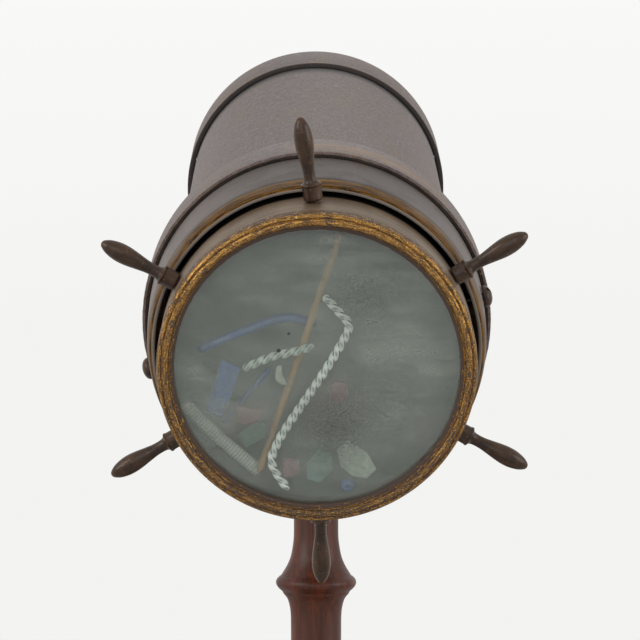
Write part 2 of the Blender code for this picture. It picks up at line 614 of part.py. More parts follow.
def make_shoulder(axis):
    """The wooden front ring, the pasteboard sleeve over it and the covering cloth on the sleeve."""
    body_r = COLLAR_INNER_R - GAP - RING_SLACK
    flange_at = SHOULDER_START + COLLAR_TAIL + GAP
    ring_end = SHOULDER_END - COVER_THICKNESS - GAP
    tube_seat = TUBE_OUTER_R + GAP
    ring = [(SPIGOT_BORE_R, SPIGOT_FRONT), (SPIGOT_R, SPIGOT_FRONT), (SPIGOT_R, RING_FACE),
            (body_r, RING_FACE), (body_r, flange_at), (COLLAR_REAR_R, flange_at),
            (COLLAR_REAR_R, ring_end), (tube_seat, ring_end), (tube_seat, TUBE_START),
            (SPIGOT_BORE_R, TUBE_START)]
    turned("front_ring", ring, RING_SIDES, "plain_wood", axis)
    sleeve = [(SLEEVE_OUTER_R, SHOULDER_START), (SLEEVE_OUTER_R, ring_end), (SLEEVE_INNER_R, ring_end),
              (SLEEVE_INNER_R, SHOULDER_START)]
    turned("shoulder_sleeve", sleeve, RING_SIDES, "pasteboard", axis)
    inner = SLEEVE_OUTER_R + GAP
    turned_in = BARREL_COVER_R + GAP
    cloth = [(inner, SHOULDER_START), (SHOULDER_COVER_R, SHOULDER_START),
             (SHOULDER_COVER_R, SHOULDER_END - COVER_THICKNESS),
             (SHOULDER_COVER_R - COVER_THICKNESS, SHOULDER_END), (turned_in, SHOULDER_END),
             (turned_in, SHOULDER_END - COVER_THICKNESS), (inner, SHOULDER_END - COVER_THICKNESS)]
    turned("shoulder_cover", cloth, RING_SIDES, "covering_cloth", axis)


def screw_places():
    return [(SCREW_ANGLE + i * FULL_TURN / SCREW_COUNT, GROOVE_AT) for i in range(SCREW_COUNT)]


def collar_r_at(along):
    """Outer radius of the tapering collar."""
    share = (along - COLLAR_LINE_END) / (SHOULDER_START - COLLAR_LINE_END)
    return COLLAR_LINE_R + (COLLAR_REAR_R - COLLAR_LINE_R) * share


def make_collar(axis):
    """Spun tin with a rolled lip. Its tail is held between the front ring and the sleeve."""
    lip_centre = (COLLAR_MOUTH_R + LIP_R, COLLAR_FRONT + LIP_R)
    lip = arc(lip_centre, LIP_R, 120, 345, 5)
    end = SHOULDER_START + COLLAR_TAIL
    outline = lip + [(COLLAR_LINE_R, COLLAR_LINE_END), (COLLAR_REAR_R, SHOULDER_START),
                     (COLLAR_REAR_R, end), (COLLAR_INNER_R, end), (COLLAR_INNER_R, SHOULDER_START),
                     (COLLAR_LINE_R - COLLAR_WALL, COLLAR_LINE_END)]
    collar = turned("collar", outline, RING_SIDES, "japanned_tin", axis)
    holes = radial_holes("collar_screw_holes", screw_places(), SCREW_SHANK_R + GAP, DRUM_R + GAP,
                         COLLAR_REAR_R + OVERRUN, axis)
    combine(collar, holes, "DIFFERENCE")


def make_retaining_screws(axis):
    """Their tips stand in the drum's groove and keep the wheel on, and they let it turn."""
    seat = collar_r_at(GROOVE_AT) + GAP
    tip = GROOVE_R + RUN
    names = ("retaining_screw_right", "retaining_screw_left")
    for name, (angle, along) in zip(names, screw_places()):
        round_head_screw(name, SCREW_HEAD_R, SCREW_HEAD_HEIGHT, SCREW_SHANK_R, seat - tip,
                         "dark_brass", axis, around(angle, seat, along), (0, -angle, 0))


def make_rear_end(axis):
    """The band over the barrel's end and the disc that closes it."""
    inner = BARREL_COVER_R + GAP
    outer = inner + BAND_WALL
    band = [(inner, BAND_START), (outer - BAND_EDGE, BAND_START), (outer, BAND_START + BAND_EDGE),
            (outer, BARREL_LENGTH - 2 * BAND_EDGE), (outer - BAND_EDGE, BARREL_LENGTH),
            (inner, BARREL_LENGTH)]
    turned("rear_band", band, RING_SIDES, "covering_cloth", axis)
    hole_r = EYEPIECE_BARREL_R + GAP
    plug_r = TUBE_INNER_R - GAP
    flange = BARREL_LENGTH - END_DISC_THICKNESS
    plug = flange - END_PLUG_LENGTH
    disc = [(hole_r, plug), (plug_r, plug), (plug_r, flange), (BARREL_COVER_R, flange),
            (BARREL_COVER_R, BARREL_LENGTH), (hole_r, BARREL_LENGTH)]
    turned("end_disc", disc, RING_SIDES, "plain_wood", axis)


def make_eyepiece(axis):
    seat = BARREL_LENGTH + GAP
    back = seat + EYEPIECE_FLANGE
    front = back - EYEPIECE_LENGTH
    pocket_r = EYE_GLASS_R + GAP
    glass_front = front + EYE_STAY_LENGTH + GAP
    glass_back = glass_front + EYE_GLASS_THICKNESS
    ring = [(pocket_r, front), (EYEPIECE_BARREL_R, front), (EYEPIECE_BARREL_R, seat),
            (EYEPIECE_R, seat), (EYEPIECE_R, seat + EYEPIECE_EDGE),
            (EYEPIECE_R - EYEPIECE_ROUNDING, back), (EYEPIECE_DISH_R, back),
            (EYEPIECE_BORE_R, glass_back + 2 * GAP), (EYEPIECE_BORE_R, glass_back + GAP),
            (pocket_r, glass_back + GAP)]
    turned("eyepiece_ring", ring, COLUMN_SIDES, "old_brass", axis)
    glass = [(0, glass_front), (EYE_GLASS_R, glass_front), (EYE_GLASS_R, glass_back),
             (0, glass_back)]
    turned("eye_glass", glass, COLUMN_SIDES, "clear_glass", axis, "Y", False)
    stay_end = front + EYE_STAY_LENGTH
    stay = [(EYE_GLASS_R - EYE_STAY_WALL, front), (EYE_GLASS_R, front), (EYE_GLASS_R, stay_end),
            (EYE_GLASS_R - EYE_STAY_WALL, stay_end)]
    turned("eye_glass_ring", stay, COLUMN_SIDES, "old_brass", axis)


def mirror_outline():
    """One mirror's end: it leans outwards from the closed edge of the V."""
    sin, cos = math.sin(MIRROR_HALF_ANGLE), math.cos(MIRROR_HALF_ANGLE)
    x0, z0 = GAP, -MIRROR_APEX_DROP
    x1, z1 = x0 + MIRROR_WIDTH * sin, z0 + MIRROR_WIDTH * cos
    return [(x0, z0), (x1, z1), (x1 + MIRROR_THICKNESS * cos, z1 - MIRROR_THICKNESS * sin),
            (x0 + MIRROR_THICKNESS * cos, z0 - MIRROR_THICKNESS * sin)]


def make_mirrors(axis):
    outline = mirror_outline()
    mirrored = [(-x, z) for x, z in reversed(outline)]
    prism("mirror_right", outline, MIRROR_FRONT, MIRROR_REAR, "mirror", axis)
    prism("mirror_left", mirrored, MIRROR_FRONT, MIRROR_REAR, "mirror", axis)
    top = outline[1][1] + GAP
    half = outline[2][0]
    shade = [(-half, top), (half, top), (half, top + SHADE_THICKNESS),
             (-half, top + SHADE_THICKNESS)]
    prism("mirror_shade", shade, MIRROR_FRONT, MIRROR_REAR, "black_card", axis)


def make_mirror_supports(axis):
    """Two wooden cradles with a wedge cut out, and the masks at the ends."""
    outline = mirror_outline()
    bottom_x, bottom_z = outline[3][0] + PACK_SLACK, outline[3][1] - PACK_SLACK
    top_z = outline[1][1] + GAP + SHADE_THICKNESS + PACK_SLACK
    top_x = bottom_x + (top_z - bottom_z) * math.tan(MIRROR_HALF_ANGLE)
    wedge = [(-bottom_x, bottom_z), (bottom_x, bottom_z), (top_x, top_z), (-top_x, top_z)]
    window_x, window_z = outline[1][0] - MASK_LAP, outline[1][1] - MASK_LAP
    window = [(0, -MIRROR_APEX_DROP + MASK_LAP), (window_x, window_z), (-window_x, window_z)]
    front_r = SPIGOT_BORE_R - GAP
    rear_r = TUBE_INNER_R - GAP
    rear_cradle_at = MIRROR_REAR - CRADLE_INSET - CRADLE_THICKNESS
    discs = (
        ("front_cradle", front_r, MIRROR_FRONT + CRADLE_INSET, CRADLE_THICKNESS, wedge, "plain_wood"),
        ("rear_cradle", rear_r, rear_cradle_at, CRADLE_THICKNESS, wedge, "plain_wood"),
        ("front_mask", front_r, MIRROR_FRONT - GAP - MASK_THICKNESS, MASK_THICKNESS, window, "black_card"),
    )
    for name, disc_r, start, thickness, hole, finish in discs:
        end = start + thickness
        outline = [(0, start), (disc_r, start), (disc_r, end), (0, end)]
        disc = turned(name, outline, RING_SIDES, finish, axis, "Y", False)
        cutter = prism(f"{name}_hole", hole, start - OVERRUN, end + OVERRUN, None, axis)
        combine(disc, cutter, "DIFFERENCE")
    start = MIRROR_REAR + GAP
    end = start + MASK_THICKNESS
    rear = [(EYE_HOLE_R, start), (rear_r, start), (rear_r, end), (EYE_HOLE_R, end)]
    turned("rear_mask", rear, RING_SIDES, "black_card", axis)


def saddle_screw_places():
    return [(DOWN + side * SADDLE_SCREW_ANGLE, PIVOT_BEHIND_GLASS + step * SADDLE_SCREW_STEP)
            for step in (-1, 1) for side in (-1, 1)]


def make_saddle(axis):
    """A brass plate bent to the barrel, with a lug that stands in the fork."""
    bm = bmesh.new()
    loops = []
    for length_share, width_share in SADDLE_OUTLINE_SHARES:
        along = PIVOT_BEHIND_GLASS + length_share * SADDLE_LENGTH / 2
        half = SADDLE_HALF_ANGLE * width_share
        angles = [DOWN - half + 2 * half * i / SADDLE_ACROSS for i in range(SADDLE_ACROSS + 1)]
        places = [around(a, SADDLE_R, along) for a in angles]
        places += [around(a, SADDLE_OUTER_R, along) for a in reversed(angles)]
        loops.append([bm.verts.new(place) for place in places])
    count = len(loops[0])
    for near, far in zip(loops, loops[1:]):
        for i in range(count):
            j = (i + 1) % count
            bm.faces.new((near[i], near[j], far[j], far[i]))
    bm.faces.new(loops[0])
    bm.faces.new(loops[-1])
    saddle = finished_object("saddle_plate", bm, "old_brass", axis)
    root = AXIS_ABOVE_PIVOT - (SADDLE_R + SADDLE_OUTER_R) / 2
    lug = [(LUG_FLARE, root)] + arc((0, 0), LUG_R, 15, -195, 10) + [(-LUG_FLARE, root)]
    place = (0, PIVOT_BEHIND_GLASS, -AXIS_ABOVE_PIVOT)
    half = LUG_THICKNESS / 2
    combine(saddle, prism("saddle_lug", lug, -half, half, None, axis, "X", place), "UNION")
    reach = half + OVERRUN
    hole = [(0, -reach), (BOLT_HOLE_R, -reach), (BOLT_HOLE_R, reach), (0, reach)]
    bolt_hole = turned("lug_bolt_hole", hole, SMALL_SIDES, None, axis, "X", False, place)
    combine(saddle, bolt_hole, "DIFFERENCE")
    holes = radial_holes("saddle_plate_holes", saddle_screw_places(), SADDLE_SCREW_R + GAP,
                         SADDLE_R - OVERRUN, SADDLE_OUTER_R + OVERRUN, axis)
    combine(saddle, holes, "DIFFERENCE")
    seat = SADDLE_OUTER_R + GAP
    tip = TUBE_INNER_R + SADDLE_SCREW_TIP_INSET
    for number, (angle, along) in enumerate(saddle_screw_places(), 1):
        round_head_screw(f"saddle_screw_{number}", SADDLE_SCREW_HEAD_R, SADDLE_SCREW_HEAD,
                         SADDLE_SCREW_R, seat - tip, "old_brass", axis,
                         around(angle, seat, along), (0, -angle, 0))


def handle_angles():
    return [HANDLE_PHASE + i * FULL_TURN / HANDLE_COUNT for i in range(HANDLE_COUNT)]


def make_drum(wheel):
    """A brass drum. The swaged groove runs on the front ring's spigot and takes the screws' tips."""
    floor_half = GROOVE_FLOOR / 2
    slope_half = floor_half + GROOVE_SLOPE
    groove_inner = GROOVE_R - DRUM_WALL
    outline = [(DRUM_R, DRUM_FRONT), (DRUM_R, GROOVE_AT - slope_half), (GROOVE_R, GROOVE_AT - floor_half),
               (GROOVE_R, GROOVE_AT + floor_half), (DRUM_R, GROOVE_AT + slope_half), (DRUM_R, DRUM_REAR),
               (DRUM_INNER_R, DRUM_REAR), (DRUM_INNER_R, GROOVE_AT + slope_half),
               (groove_inner, GROOVE_AT + floor_half), (groove_inner, GROOVE_AT - floor_half),
               (DRUM_INNER_R, GROOVE_AT - slope_half), (DRUM_INNER_R, DRUM_FRONT)]
    drum = turned("wheel_drum", outline, RING_SIDES, "old_brass", wheel)
    places = [(angle, HANDLE_AT) for angle in handle_angles()]
    holes = radial_holes("handle_holes", places, HANDLE_TENON_R + HANDLE_HOLE_SLACK,
                         DRUM_INNER_R - OVERRUN, DRUM_R + OVERRUN, wheel)
    combine(drum, holes, "DIFFERENCE")


def make_bezel(wheel):
    """The gilt moulding that holds the front glass."""
    spigot_r = DRUM_INNER_R - GAP
    spigot_end = BEZEL_BACK + BEZEL_SPIGOT
    seat_r = spigot_r - BEZEL_SPIGOT_WALL
    lip_back = FRONT_GLASS_FACE - GAP
    face = [(SIGHT_R + BEZEL_WIDTH * w, -BEZEL_RISE * h) for w, h in BEZEL_FACE_SHARES]
    outline = [(SIGHT_R, lip_back)] + face
    outline += [(BEZEL_R, BEZEL_BACK / 2), (BEZEL_R, BEZEL_BACK), (spigot_r, BEZEL_BACK),
                (spigot_r, spigot_end), (seat_r, spigot_end), (seat_r, lip_back)]
    turned("front_bezel", outline, RING_SIDES, "worn_gilt", wheel)


def make_cell(wheel):
    """The two glasses, the strip that keeps them apart and the ring that holds them in the drum."""
    front_r = DRUM_INNER_R - GAP - BEZEL_SPIGOT_WALL - GLASS_IN_BEZEL
    front = [(0, FRONT_GLASS_FACE), (front_r, FRONT_GLASS_FACE), (front_r, FRONT_GLASS_BACK),
             (0, FRONT_GLASS_BACK)]
    turned("front_glass", front, RING_SIDES, "frosted_glass", wheel, "Y", False)
    spacer_inner = SPACER_R - SPACER_WALL
    spacer = [(spacer_inner, CELL_FRONT), (SPACER_R, CELL_FRONT), (SPACER_R, CELL_BACK),
              (spacer_inner, CELL_BACK)]
    turned("glass_spacer", spacer, RING_SIDES, "old_brass", wheel)
    rear_r = DRUM_INNER_R - GAP
    glass_end = REAR_GLASS_FACE + REAR_GLASS_THICKNESS
    rear = [(0, REAR_GLASS_FACE), (rear_r, REAR_GLASS_FACE), (rear_r, glass_end), (0, glass_end)]
    turned("rear_glass", rear, RING_SIDES, "clear_glass", wheel, "Y", False)
    stay_end = STAY_RING_FRONT + STAY_RING_LENGTH
    stay = [(rear_r - STAY_RING_WALL, STAY_RING_FRONT), (rear_r, STAY_RING_FRONT), (rear_r, stay_end),
            (rear_r - STAY_RING_WALL, stay_end)]
    turned("glass_retaining_ring", stay, RING_SIDES, "old_brass", wheel)


def make_handles(wheel):
    """Turned handles on the drum, each riveted through its wall."""
    body = [(HANDLE_R * r, HANDLE_LENGTH * h) for h, r in HANDLE_OUTLINE_SHARES]
    outline = [(0, -HANDLE_TENON_LENGTH), (HANDLE_TENON_R, -HANDLE_TENON_LENGTH), (HANDLE_TENON_R, 0)]
    outline += body + [(0, HANDLE_LENGTH)]
    for number, angle in enumerate(handle_angles(), 1):
        lean = HANDLE_LEAN if number == LEANING_HANDLE + 1 else 0
        seat = DRUM_R + GAP + HANDLE_R * math.sin(lean)
        turned(f"handle_{number}", outline, HANDLE_SIDES, "dark_brass", wheel, "X", False,
               around(angle, seat, HANDLE_AT), (0, -angle - lean, 0))


def smooth_path(points, step):
    """A smooth curve through the points, read at about equal steps."""
    ends = [points[0]] + list(points) + [points[-1]]
    fine = []
    per_span = 24
    for a, b, c, d in zip(ends, ends[1:], ends[2:], ends[3:]):
        for i in range(per_span):
            t = i / per_span
            fine.append((0.5 * (2 * b + (c - a) * t + (2 * a - 5 * b + 4 * c - d) * t ** 2
                                + (3 * b - a - 3 * c + d) * t ** 3)))
    fine.append(points[-1])
    length = sum((q - p).length for p, q in zip(fine, fine[1:]))
    count = max(1, round(length / step))
    even, travelled, wanted = [fine[0]], 0, 1
    for p, q in zip(fine, fine[1:]):
        span = (q - p).length
        while wanted < count and travelled + span >= length * wanted / count:
            even.append(p.lerp(q, (length * wanted / count - travelled) / span))
            wanted += 1
        travelled += span
    return even + [fine[-1]]


def swept_rod(name, shares, layer, section, twist_length, step, finish, wheel):
    """A glass rod bent in a plane behind the front glass. Its section, in (side, depth), may twist."""
    depth = CELL_FRONT + layer
    path = smooth_path([Vector((x * SIGHT_R, z * SIGHT_R)) for x, z in shares], step)
    bm = bmesh.new()
    loops = []
    for i, point in enumerate(path):
        ahead = path[min(i + 1, len(path) - 1)] - path[max(i - 1, 0)]
        side = Vector((-ahead.y, ahead.x)).normalized()
        turn = FULL_TURN * i * step / twist_length if twist_length else 0
        loop = []
        for u, v in section:
            across = u * math.cos(turn) - v * math.sin(turn)
            deep = u * math.sin(turn) + v * math.cos(turn)
            place = (point.x + side.x * across, depth + deep, point.y + side.y * across)
            loop.append(bm.verts.new(place))
        loops.append(loop)
    count = len(section)
    for near, far in zip(loops, loops[1:]):
        for i in range(count):
            j = (i + 1) % count
            bm.faces.new((near[i], near[j], far[j], far[i]))
    bm.faces.new(loops[0])
    bm.faces.new(loops[-1])
    finished_object(name, bm, finish, wheel)


def round_section(radius, sides):
    return [(radius * math.cos(FULL_TURN * i / sides), radius * math.sin(FULL_TURN * i / sides))
            for i in range(sides)]


def make_loose_pieces(wheel):
    """Lamp-worked glass that tumbles in the wheel, lying towards the lower, front glass."""
    square = round_section(TWISTED_ROD_R, 4)
    first = TWISTED_ROD_R
    second = 2 * TWISTED_ROD_R + GAP + STRAIGHT_ROD_R
    third = second + STRAIGHT_ROD_R + GAP + RIBBED_ROD_R
    straight = round_section(STRAIGHT_ROD_R, 8)
    for name, shares in (("twisted_rod_long", LONG_ROD_SHARES), ("twisted_rod_short", SHORT_ROD_SHARES)):
        swept_rod(name, shares, first, square, TWIST_LENGTH, TWIST_STEP, "white_glass", wheel)
    swept_rod("amber_rod", AMBER_ROD_SHARES, second, straight, 0, STRAIGHT_STEP, "amber_glass", wheel)
    on_chips = 2 * CHIP_LAYER + BLUE_ROD_R
    thin = round_section(BLUE_ROD_R, 6)
    bent = round_section(RIBBED_ROD_R, 6)
    swept_rod("blue_rod", BLUE_ROD_SHARES, on_chips, thin, 0, THIN_STEP, "blue_glass", wheel)
    swept_rod("blue_bent_rod", BLUE_BEND_SHARES, third, bent, 0, BENT_STEP, "blue_glass", wheel)
    swept_rod("ribbed_rod", RIBBED_ROD_SHARES, third, bent, 0, BENT_STEP, "white_glass", wheel)
    for name, finish, layer, corners in CHIP_SHARES:
        start = CELL_FRONT + layer * CHIP_LAYER
        outline = [(x * SIGHT_R, z * SIGHT_R) for x, z in corners]
        prism(name, outline, start, start + CHIP_THICKNESS, finish, wheel)
    x, z = (share * SIGHT_R for share in BEAD_PIECE_SHARES)
    bead = [(BEAD_HOLE_R, -BEAD_PIECE_R)] + arc((BEAD_HOLE_R, 0), BEAD_PIECE_R, -60, 60, 4)
    bead += [(BEAD_HOLE_R, BEAD_PIECE_R)]
    place = (x, CELL_FRONT + BEAD_PIECE_R, z)
    turned("blue_bead", bead, HANDLE_SIDES, "blue_glass", wheel, "Y", True, place)


def main():
    clear_scene()
    tilt = empty("tilt_pivot", None, (0, 0, PIVOT_HEIGHT), (TILT, 0, 0))
    axis = empty("barrel_axis", tilt, (0, -PIVOT_BEHIND_GLASS, AXIS_ABOVE_PIVOT))
    wheel = empty("wheel_axis", axis)
    make_base()
    make_column()
    make_fork()
    make_fork_pins()
    make_bolt_and_nut()
    make_barrel_tube(axis)
    make_shoulder(axis)
    make_collar(axis)
    make_retaining_screws(axis)
    make_rear_end(axis)
    make_eyepiece(axis)
    make_mirrors(axis)
    make_mirror_supports(axis)
    make_saddle(axis)
    make_drum(wheel)
    make_bezel(wheel)
    make_cell(wheel)
    make_handles(wheel)
    make_loose_pieces(wheel)
    bpy.context.view_layer.update()


main()
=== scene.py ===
# %% [markdown]
# # A parlour kaleidoscope
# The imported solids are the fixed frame: they say where each piece sits and what it moves with. This
# lesson turns the round pieces again on finer lathes and gives each surface the finish of the real one.

# %% Load the frame
import json
import math

import bmesh
import bpy
from mathutils import Matrix, Vector, noise


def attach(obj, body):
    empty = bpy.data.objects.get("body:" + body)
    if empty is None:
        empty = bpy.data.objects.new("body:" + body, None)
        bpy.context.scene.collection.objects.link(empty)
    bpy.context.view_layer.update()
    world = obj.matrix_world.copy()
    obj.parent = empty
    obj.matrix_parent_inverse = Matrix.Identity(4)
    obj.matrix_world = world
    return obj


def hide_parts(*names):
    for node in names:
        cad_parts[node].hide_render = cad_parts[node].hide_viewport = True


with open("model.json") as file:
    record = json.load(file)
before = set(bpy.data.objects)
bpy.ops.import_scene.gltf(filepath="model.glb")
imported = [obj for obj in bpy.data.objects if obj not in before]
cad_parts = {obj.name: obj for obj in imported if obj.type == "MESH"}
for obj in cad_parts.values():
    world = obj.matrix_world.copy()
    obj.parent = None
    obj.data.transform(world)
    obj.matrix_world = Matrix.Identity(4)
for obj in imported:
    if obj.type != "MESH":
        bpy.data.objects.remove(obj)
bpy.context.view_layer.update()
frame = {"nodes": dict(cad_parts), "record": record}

# %% [markdown]
# ## The common places
# Every length is in metres. The barrel slopes, so its pieces are made in the barrel's own directions:
# x to the right, y behind the front glass and z square to the barrel. A turned piece is made about its
# own z axis, so that one lathe serves for the column, the rings, the handles and the screws.

# %% Scale and places
MM = 0.001
FULL_TURN = 2 * math.pi
TILT = math.radians(16)
PIVOT_HEIGHT = 198 * MM
PIVOT_BEHIND_GLASS = 116 * MM
AXIS_ABOVE_PIVOT = 59.6 * MM
GAP = 0.3 * MM

UPRIGHT = Matrix.Identity(4)
PIVOT = Matrix.Translation((0, 0, PIVOT_HEIGHT))
FROM_PIVOT = Matrix.Translation((0, -PIVOT_BEHIND_GLASS, AXIS_ABOVE_PIVOT))
BARREL = PIVOT @ Matrix.Rotation(TILT, 4, "X") @ FROM_PIVOT
ON_BARREL = BARREL @ Matrix.Rotation(math.radians(-90), 4, "X")     # turning axis along the barrel
ALONG_X = Matrix.Rotation(math.radians(90), 4, "Y")                 # turning axis along x
print("glass centre at", [round(v / MM, 1) for v in BARREL.translation], "mm")

# %% [markdown]
# ## Studio
# The photograph has a level camera nearly a metre away with a long lens, and a white studio that hides
# its floor line. The floor here is a pale disc. Far from the object it fades into the same tone as the
# world behind it, and close to the object it keeps the object's shadow.

# %% A function for colours and one that adds nodes
def linear(hex_colour):
    """An sRGB hex colour as linear red, green, blue and alpha."""
    channels = [int(hex_colour[i:i + 2], 16) / 255 for i in (1, 3, 5)]
    return [c / 12.92 if c <= 0.04045 else ((c + 0.055) / 1.055) ** 2.4 for c in channels] + [1.0]


MIX_FACTOR, MIX_A, MIX_B, MIX_RESULT = 0, 6, 7, 2      # a colour Mix node's sockets


class Shading:
    """The nodes of a world or of a material."""

    def __init__(self, owner):
        owner.use_nodes = True
        self.tree = owner.node_tree

    def add(self, kind, inputs=(), **settings):
        """Add a node with its settings and links, and give its outputs. Inputs are values or other nodes'
        sockets, in the node's own order, or with a name or number each."""
        made = self.tree.nodes.new("ShaderNode" + kind)
        for key, value in settings.items():
            setattr(made, key, value)
        for key, value in inputs.items() if isinstance(inputs, dict) else enumerate(inputs):
            if isinstance(value, bpy.types.NodeSocket):
                self.tree.links.new(value, made.inputs[key])
            else:
                made.inputs[key].default_value = value
        return made.outputs

    def share(self, *parts, joined="MULTIPLY"):
        """The parts multiplied or joined in another way. A part is a number, a socket or a smooth reading:
        a pattern, where it starts and ends, and its values there, which are 0 and 1 if left out."""
        total = None
        for part in parts:
            if isinstance(part, tuple):
                part = self.add("MapRange", part, interpolation_type="SMOOTHSTEP")[0]
            total = part if total is None else self.add("Math", (total, part), operation=joined)[0]
        return total

    def layers(self, colour, *rows):
        """Lay colours over a first one. A row is a reading or a socket that says how much, and a colour."""
        for *reading, tint in rows:
            how_much = self.share(tuple(reading)) if len(reading) > 1 else reading[0]
            below, above = (linear(c) if isinstance(c, str) else c for c in (colour, tint))
            colour = self.add("Mix", {MIX_FACTOR: how_much, MIX_A: below, MIX_B: above},
                              data_type="RGBA")[MIX_RESULT]
        return colour

    def seen(self):
        """1 for the rays that show the studio itself: camera, glossy and transmission rays."""
        path = self.add("LightPath")
        direct = self.add("Math", (path["Is Camera Ray"], path["Is Glossy Ray"]), operation="ADD")[0]
        return self.add("Math", (direct, path["Is Transmission Ray"]), operation="ADD", use_clamp=True)[0]

    def show(self, surface, output="Material Output"):
        self.tree.links.new(surface, self.tree.nodes[output].inputs["Surface"])

# %% Camera
CAMERA_AT = (-2 * MM, -913.3 * MM, 238.0 * MM)
CAMERA_LENS = 146.25        # mm, on a sensor 36 mm wide
PRINCIPAL_SHIFT = 0.015     # of the frame's width, so that the barrel and the column stand where they do

camera_data = bpy.data.cameras.new("studio_camera")
camera_data.sensor_width = 36
camera_data.lens = CAMERA_LENS
camera_data.shift_x = PRINCIPAL_SHIFT
camera = bpy.data.objects.new("studio_camera", camera_data)
camera.location = CAMERA_AT
camera.rotation_euler = (math.radians(90), 0, 0)
bpy.context.scene.collection.objects.link(camera)
bpy.context.scene.camera = camera
bpy.context.scene.view_settings.view_transform = "Standard"
print("camera", [round(v, 4) for v in CAMERA_AT], "m, lens", CAMERA_LENS, "mm")

# %% Background and floor
BACKDROP_LOW = "#F3F3F1"
BACKDROP_HIGH = "#F9F9F8"
AMBIENT = 0.52              # how much of the light comes from all round
HIGH_AT = 0.13              # direction's rise at which the backdrop is lightest
FLOOR_R = 30.0
FLOOR_SIDES = 64
FLOOR_BELOW = 0.05 * MM
FADE_START, FADE_END = 0.35, 1.05

world = bpy.data.worlds.new("white_studio")
bpy.context.scene.world = world
backdrop = Shading(world)
rise = backdrop.add("SeparateXYZ", (backdrop.add("TexCoord")["Generated"],))["Z"]
height = backdrop.add("MapRange", (rise, 0.0, HIGH_AT))[0]
tone = backdrop.layers(BACKDROP_LOW, (height, BACKDROP_HIGH))
lit = backdrop.add("Background", {"Color": linear("#FFFFFF"), "Strength": AMBIENT})[0]
shown = backdrop.add("Background", {"Color": tone, "Strength": 1.0})[0]
backdrop.show(backdrop.add("MixShader", (backdrop.seen(), lit, shown))[0], "World Output")

floor_finish = bpy.data.materials.new("pale_studio_floor")
floor = Shading(floor_finish)
distance = floor.add("VectorMath", (floor.add("TexCoord")["Object"],), operation="LENGTH")["Value"]
fade = floor.share((distance, FADE_START, FADE_END), floor.seen())
painted = floor.add("BsdfDiffuse", {"Color": linear("#ECEBE9")})[0]
glow = floor.add("Emission", {"Color": linear(BACKDROP_LOW), "Strength": 1.0})[0]
floor.show(floor.add("MixShader", (fade, painted, glow))[0])

floor_mesh = bpy.data.meshes.new("studio_floor")
turns = [FULL_TURN * i / FLOOR_SIDES for i in range(FLOOR_SIDES)]
rim = [(FLOOR_R * math.cos(turn), FLOOR_R * math.sin(turn), 0) for turn in turns]
floor_mesh.from_pydata(rim, [], [list(range(FLOOR_SIDES))])
floor_mesh.materials.append(floor_finish)
studio_floor = bpy.data.objects.new("studio_floor", floor_mesh)
studio_floor.location = (0, 0, -FLOOR_BELOW)
bpy.context.scene.collection.objects.link(studio_floor)
print("floor disc", FLOOR_R, "m in radius, fading from", FADE_START, "to", FADE_END, "m")

# %% Lamps
# Each lamp's name, place, the point it faces, size and power
LAMPS = (
    ("left_softbox", (-1.7, -1.0, 0.9), (0, 0, 0.25), 1.2, 17.0),
    ("right_softbox", (1.7, -0.8, 0.6), (0, 0, 0.25), 1.2, 12.0),
    ("top_softbox", (0.1, -0.2, 2.0), (0, 0, 0.25), 1.4, 1.0),
    ("front_softbox", (-0.3, -2.4, 0.9), (0, 0, 0.25), 1.6, 9.5),
)
for name, place, target, size, power in LAMPS:
    lamp_data = bpy.data.lights.new(name, "AREA")
    lamp_data.size = size
    lamp_data.energy = power
    lamp = bpy.data.objects.new(name, lamp_data)
    lamp.location = place
    lamp.rotation_euler = (Vector(target) - Vector(place)).to_track_quat("-Z", "Y").to_euler()
    bpy.context.scene.collection.objects.link(lamp)
print("studio: world", AMBIENT, "and", len(LAMPS), "softboxes")

# %% [markdown]
# ## How a finish is laid out
# A finish starts from what the surface is and how it was made. Wear on a turned piece runs around its
# axis, because that is how it was turned, rubbed and brushed. Noise whose places change quickly with the
# radius and the length, and slowly around, draws such marks with no seam.

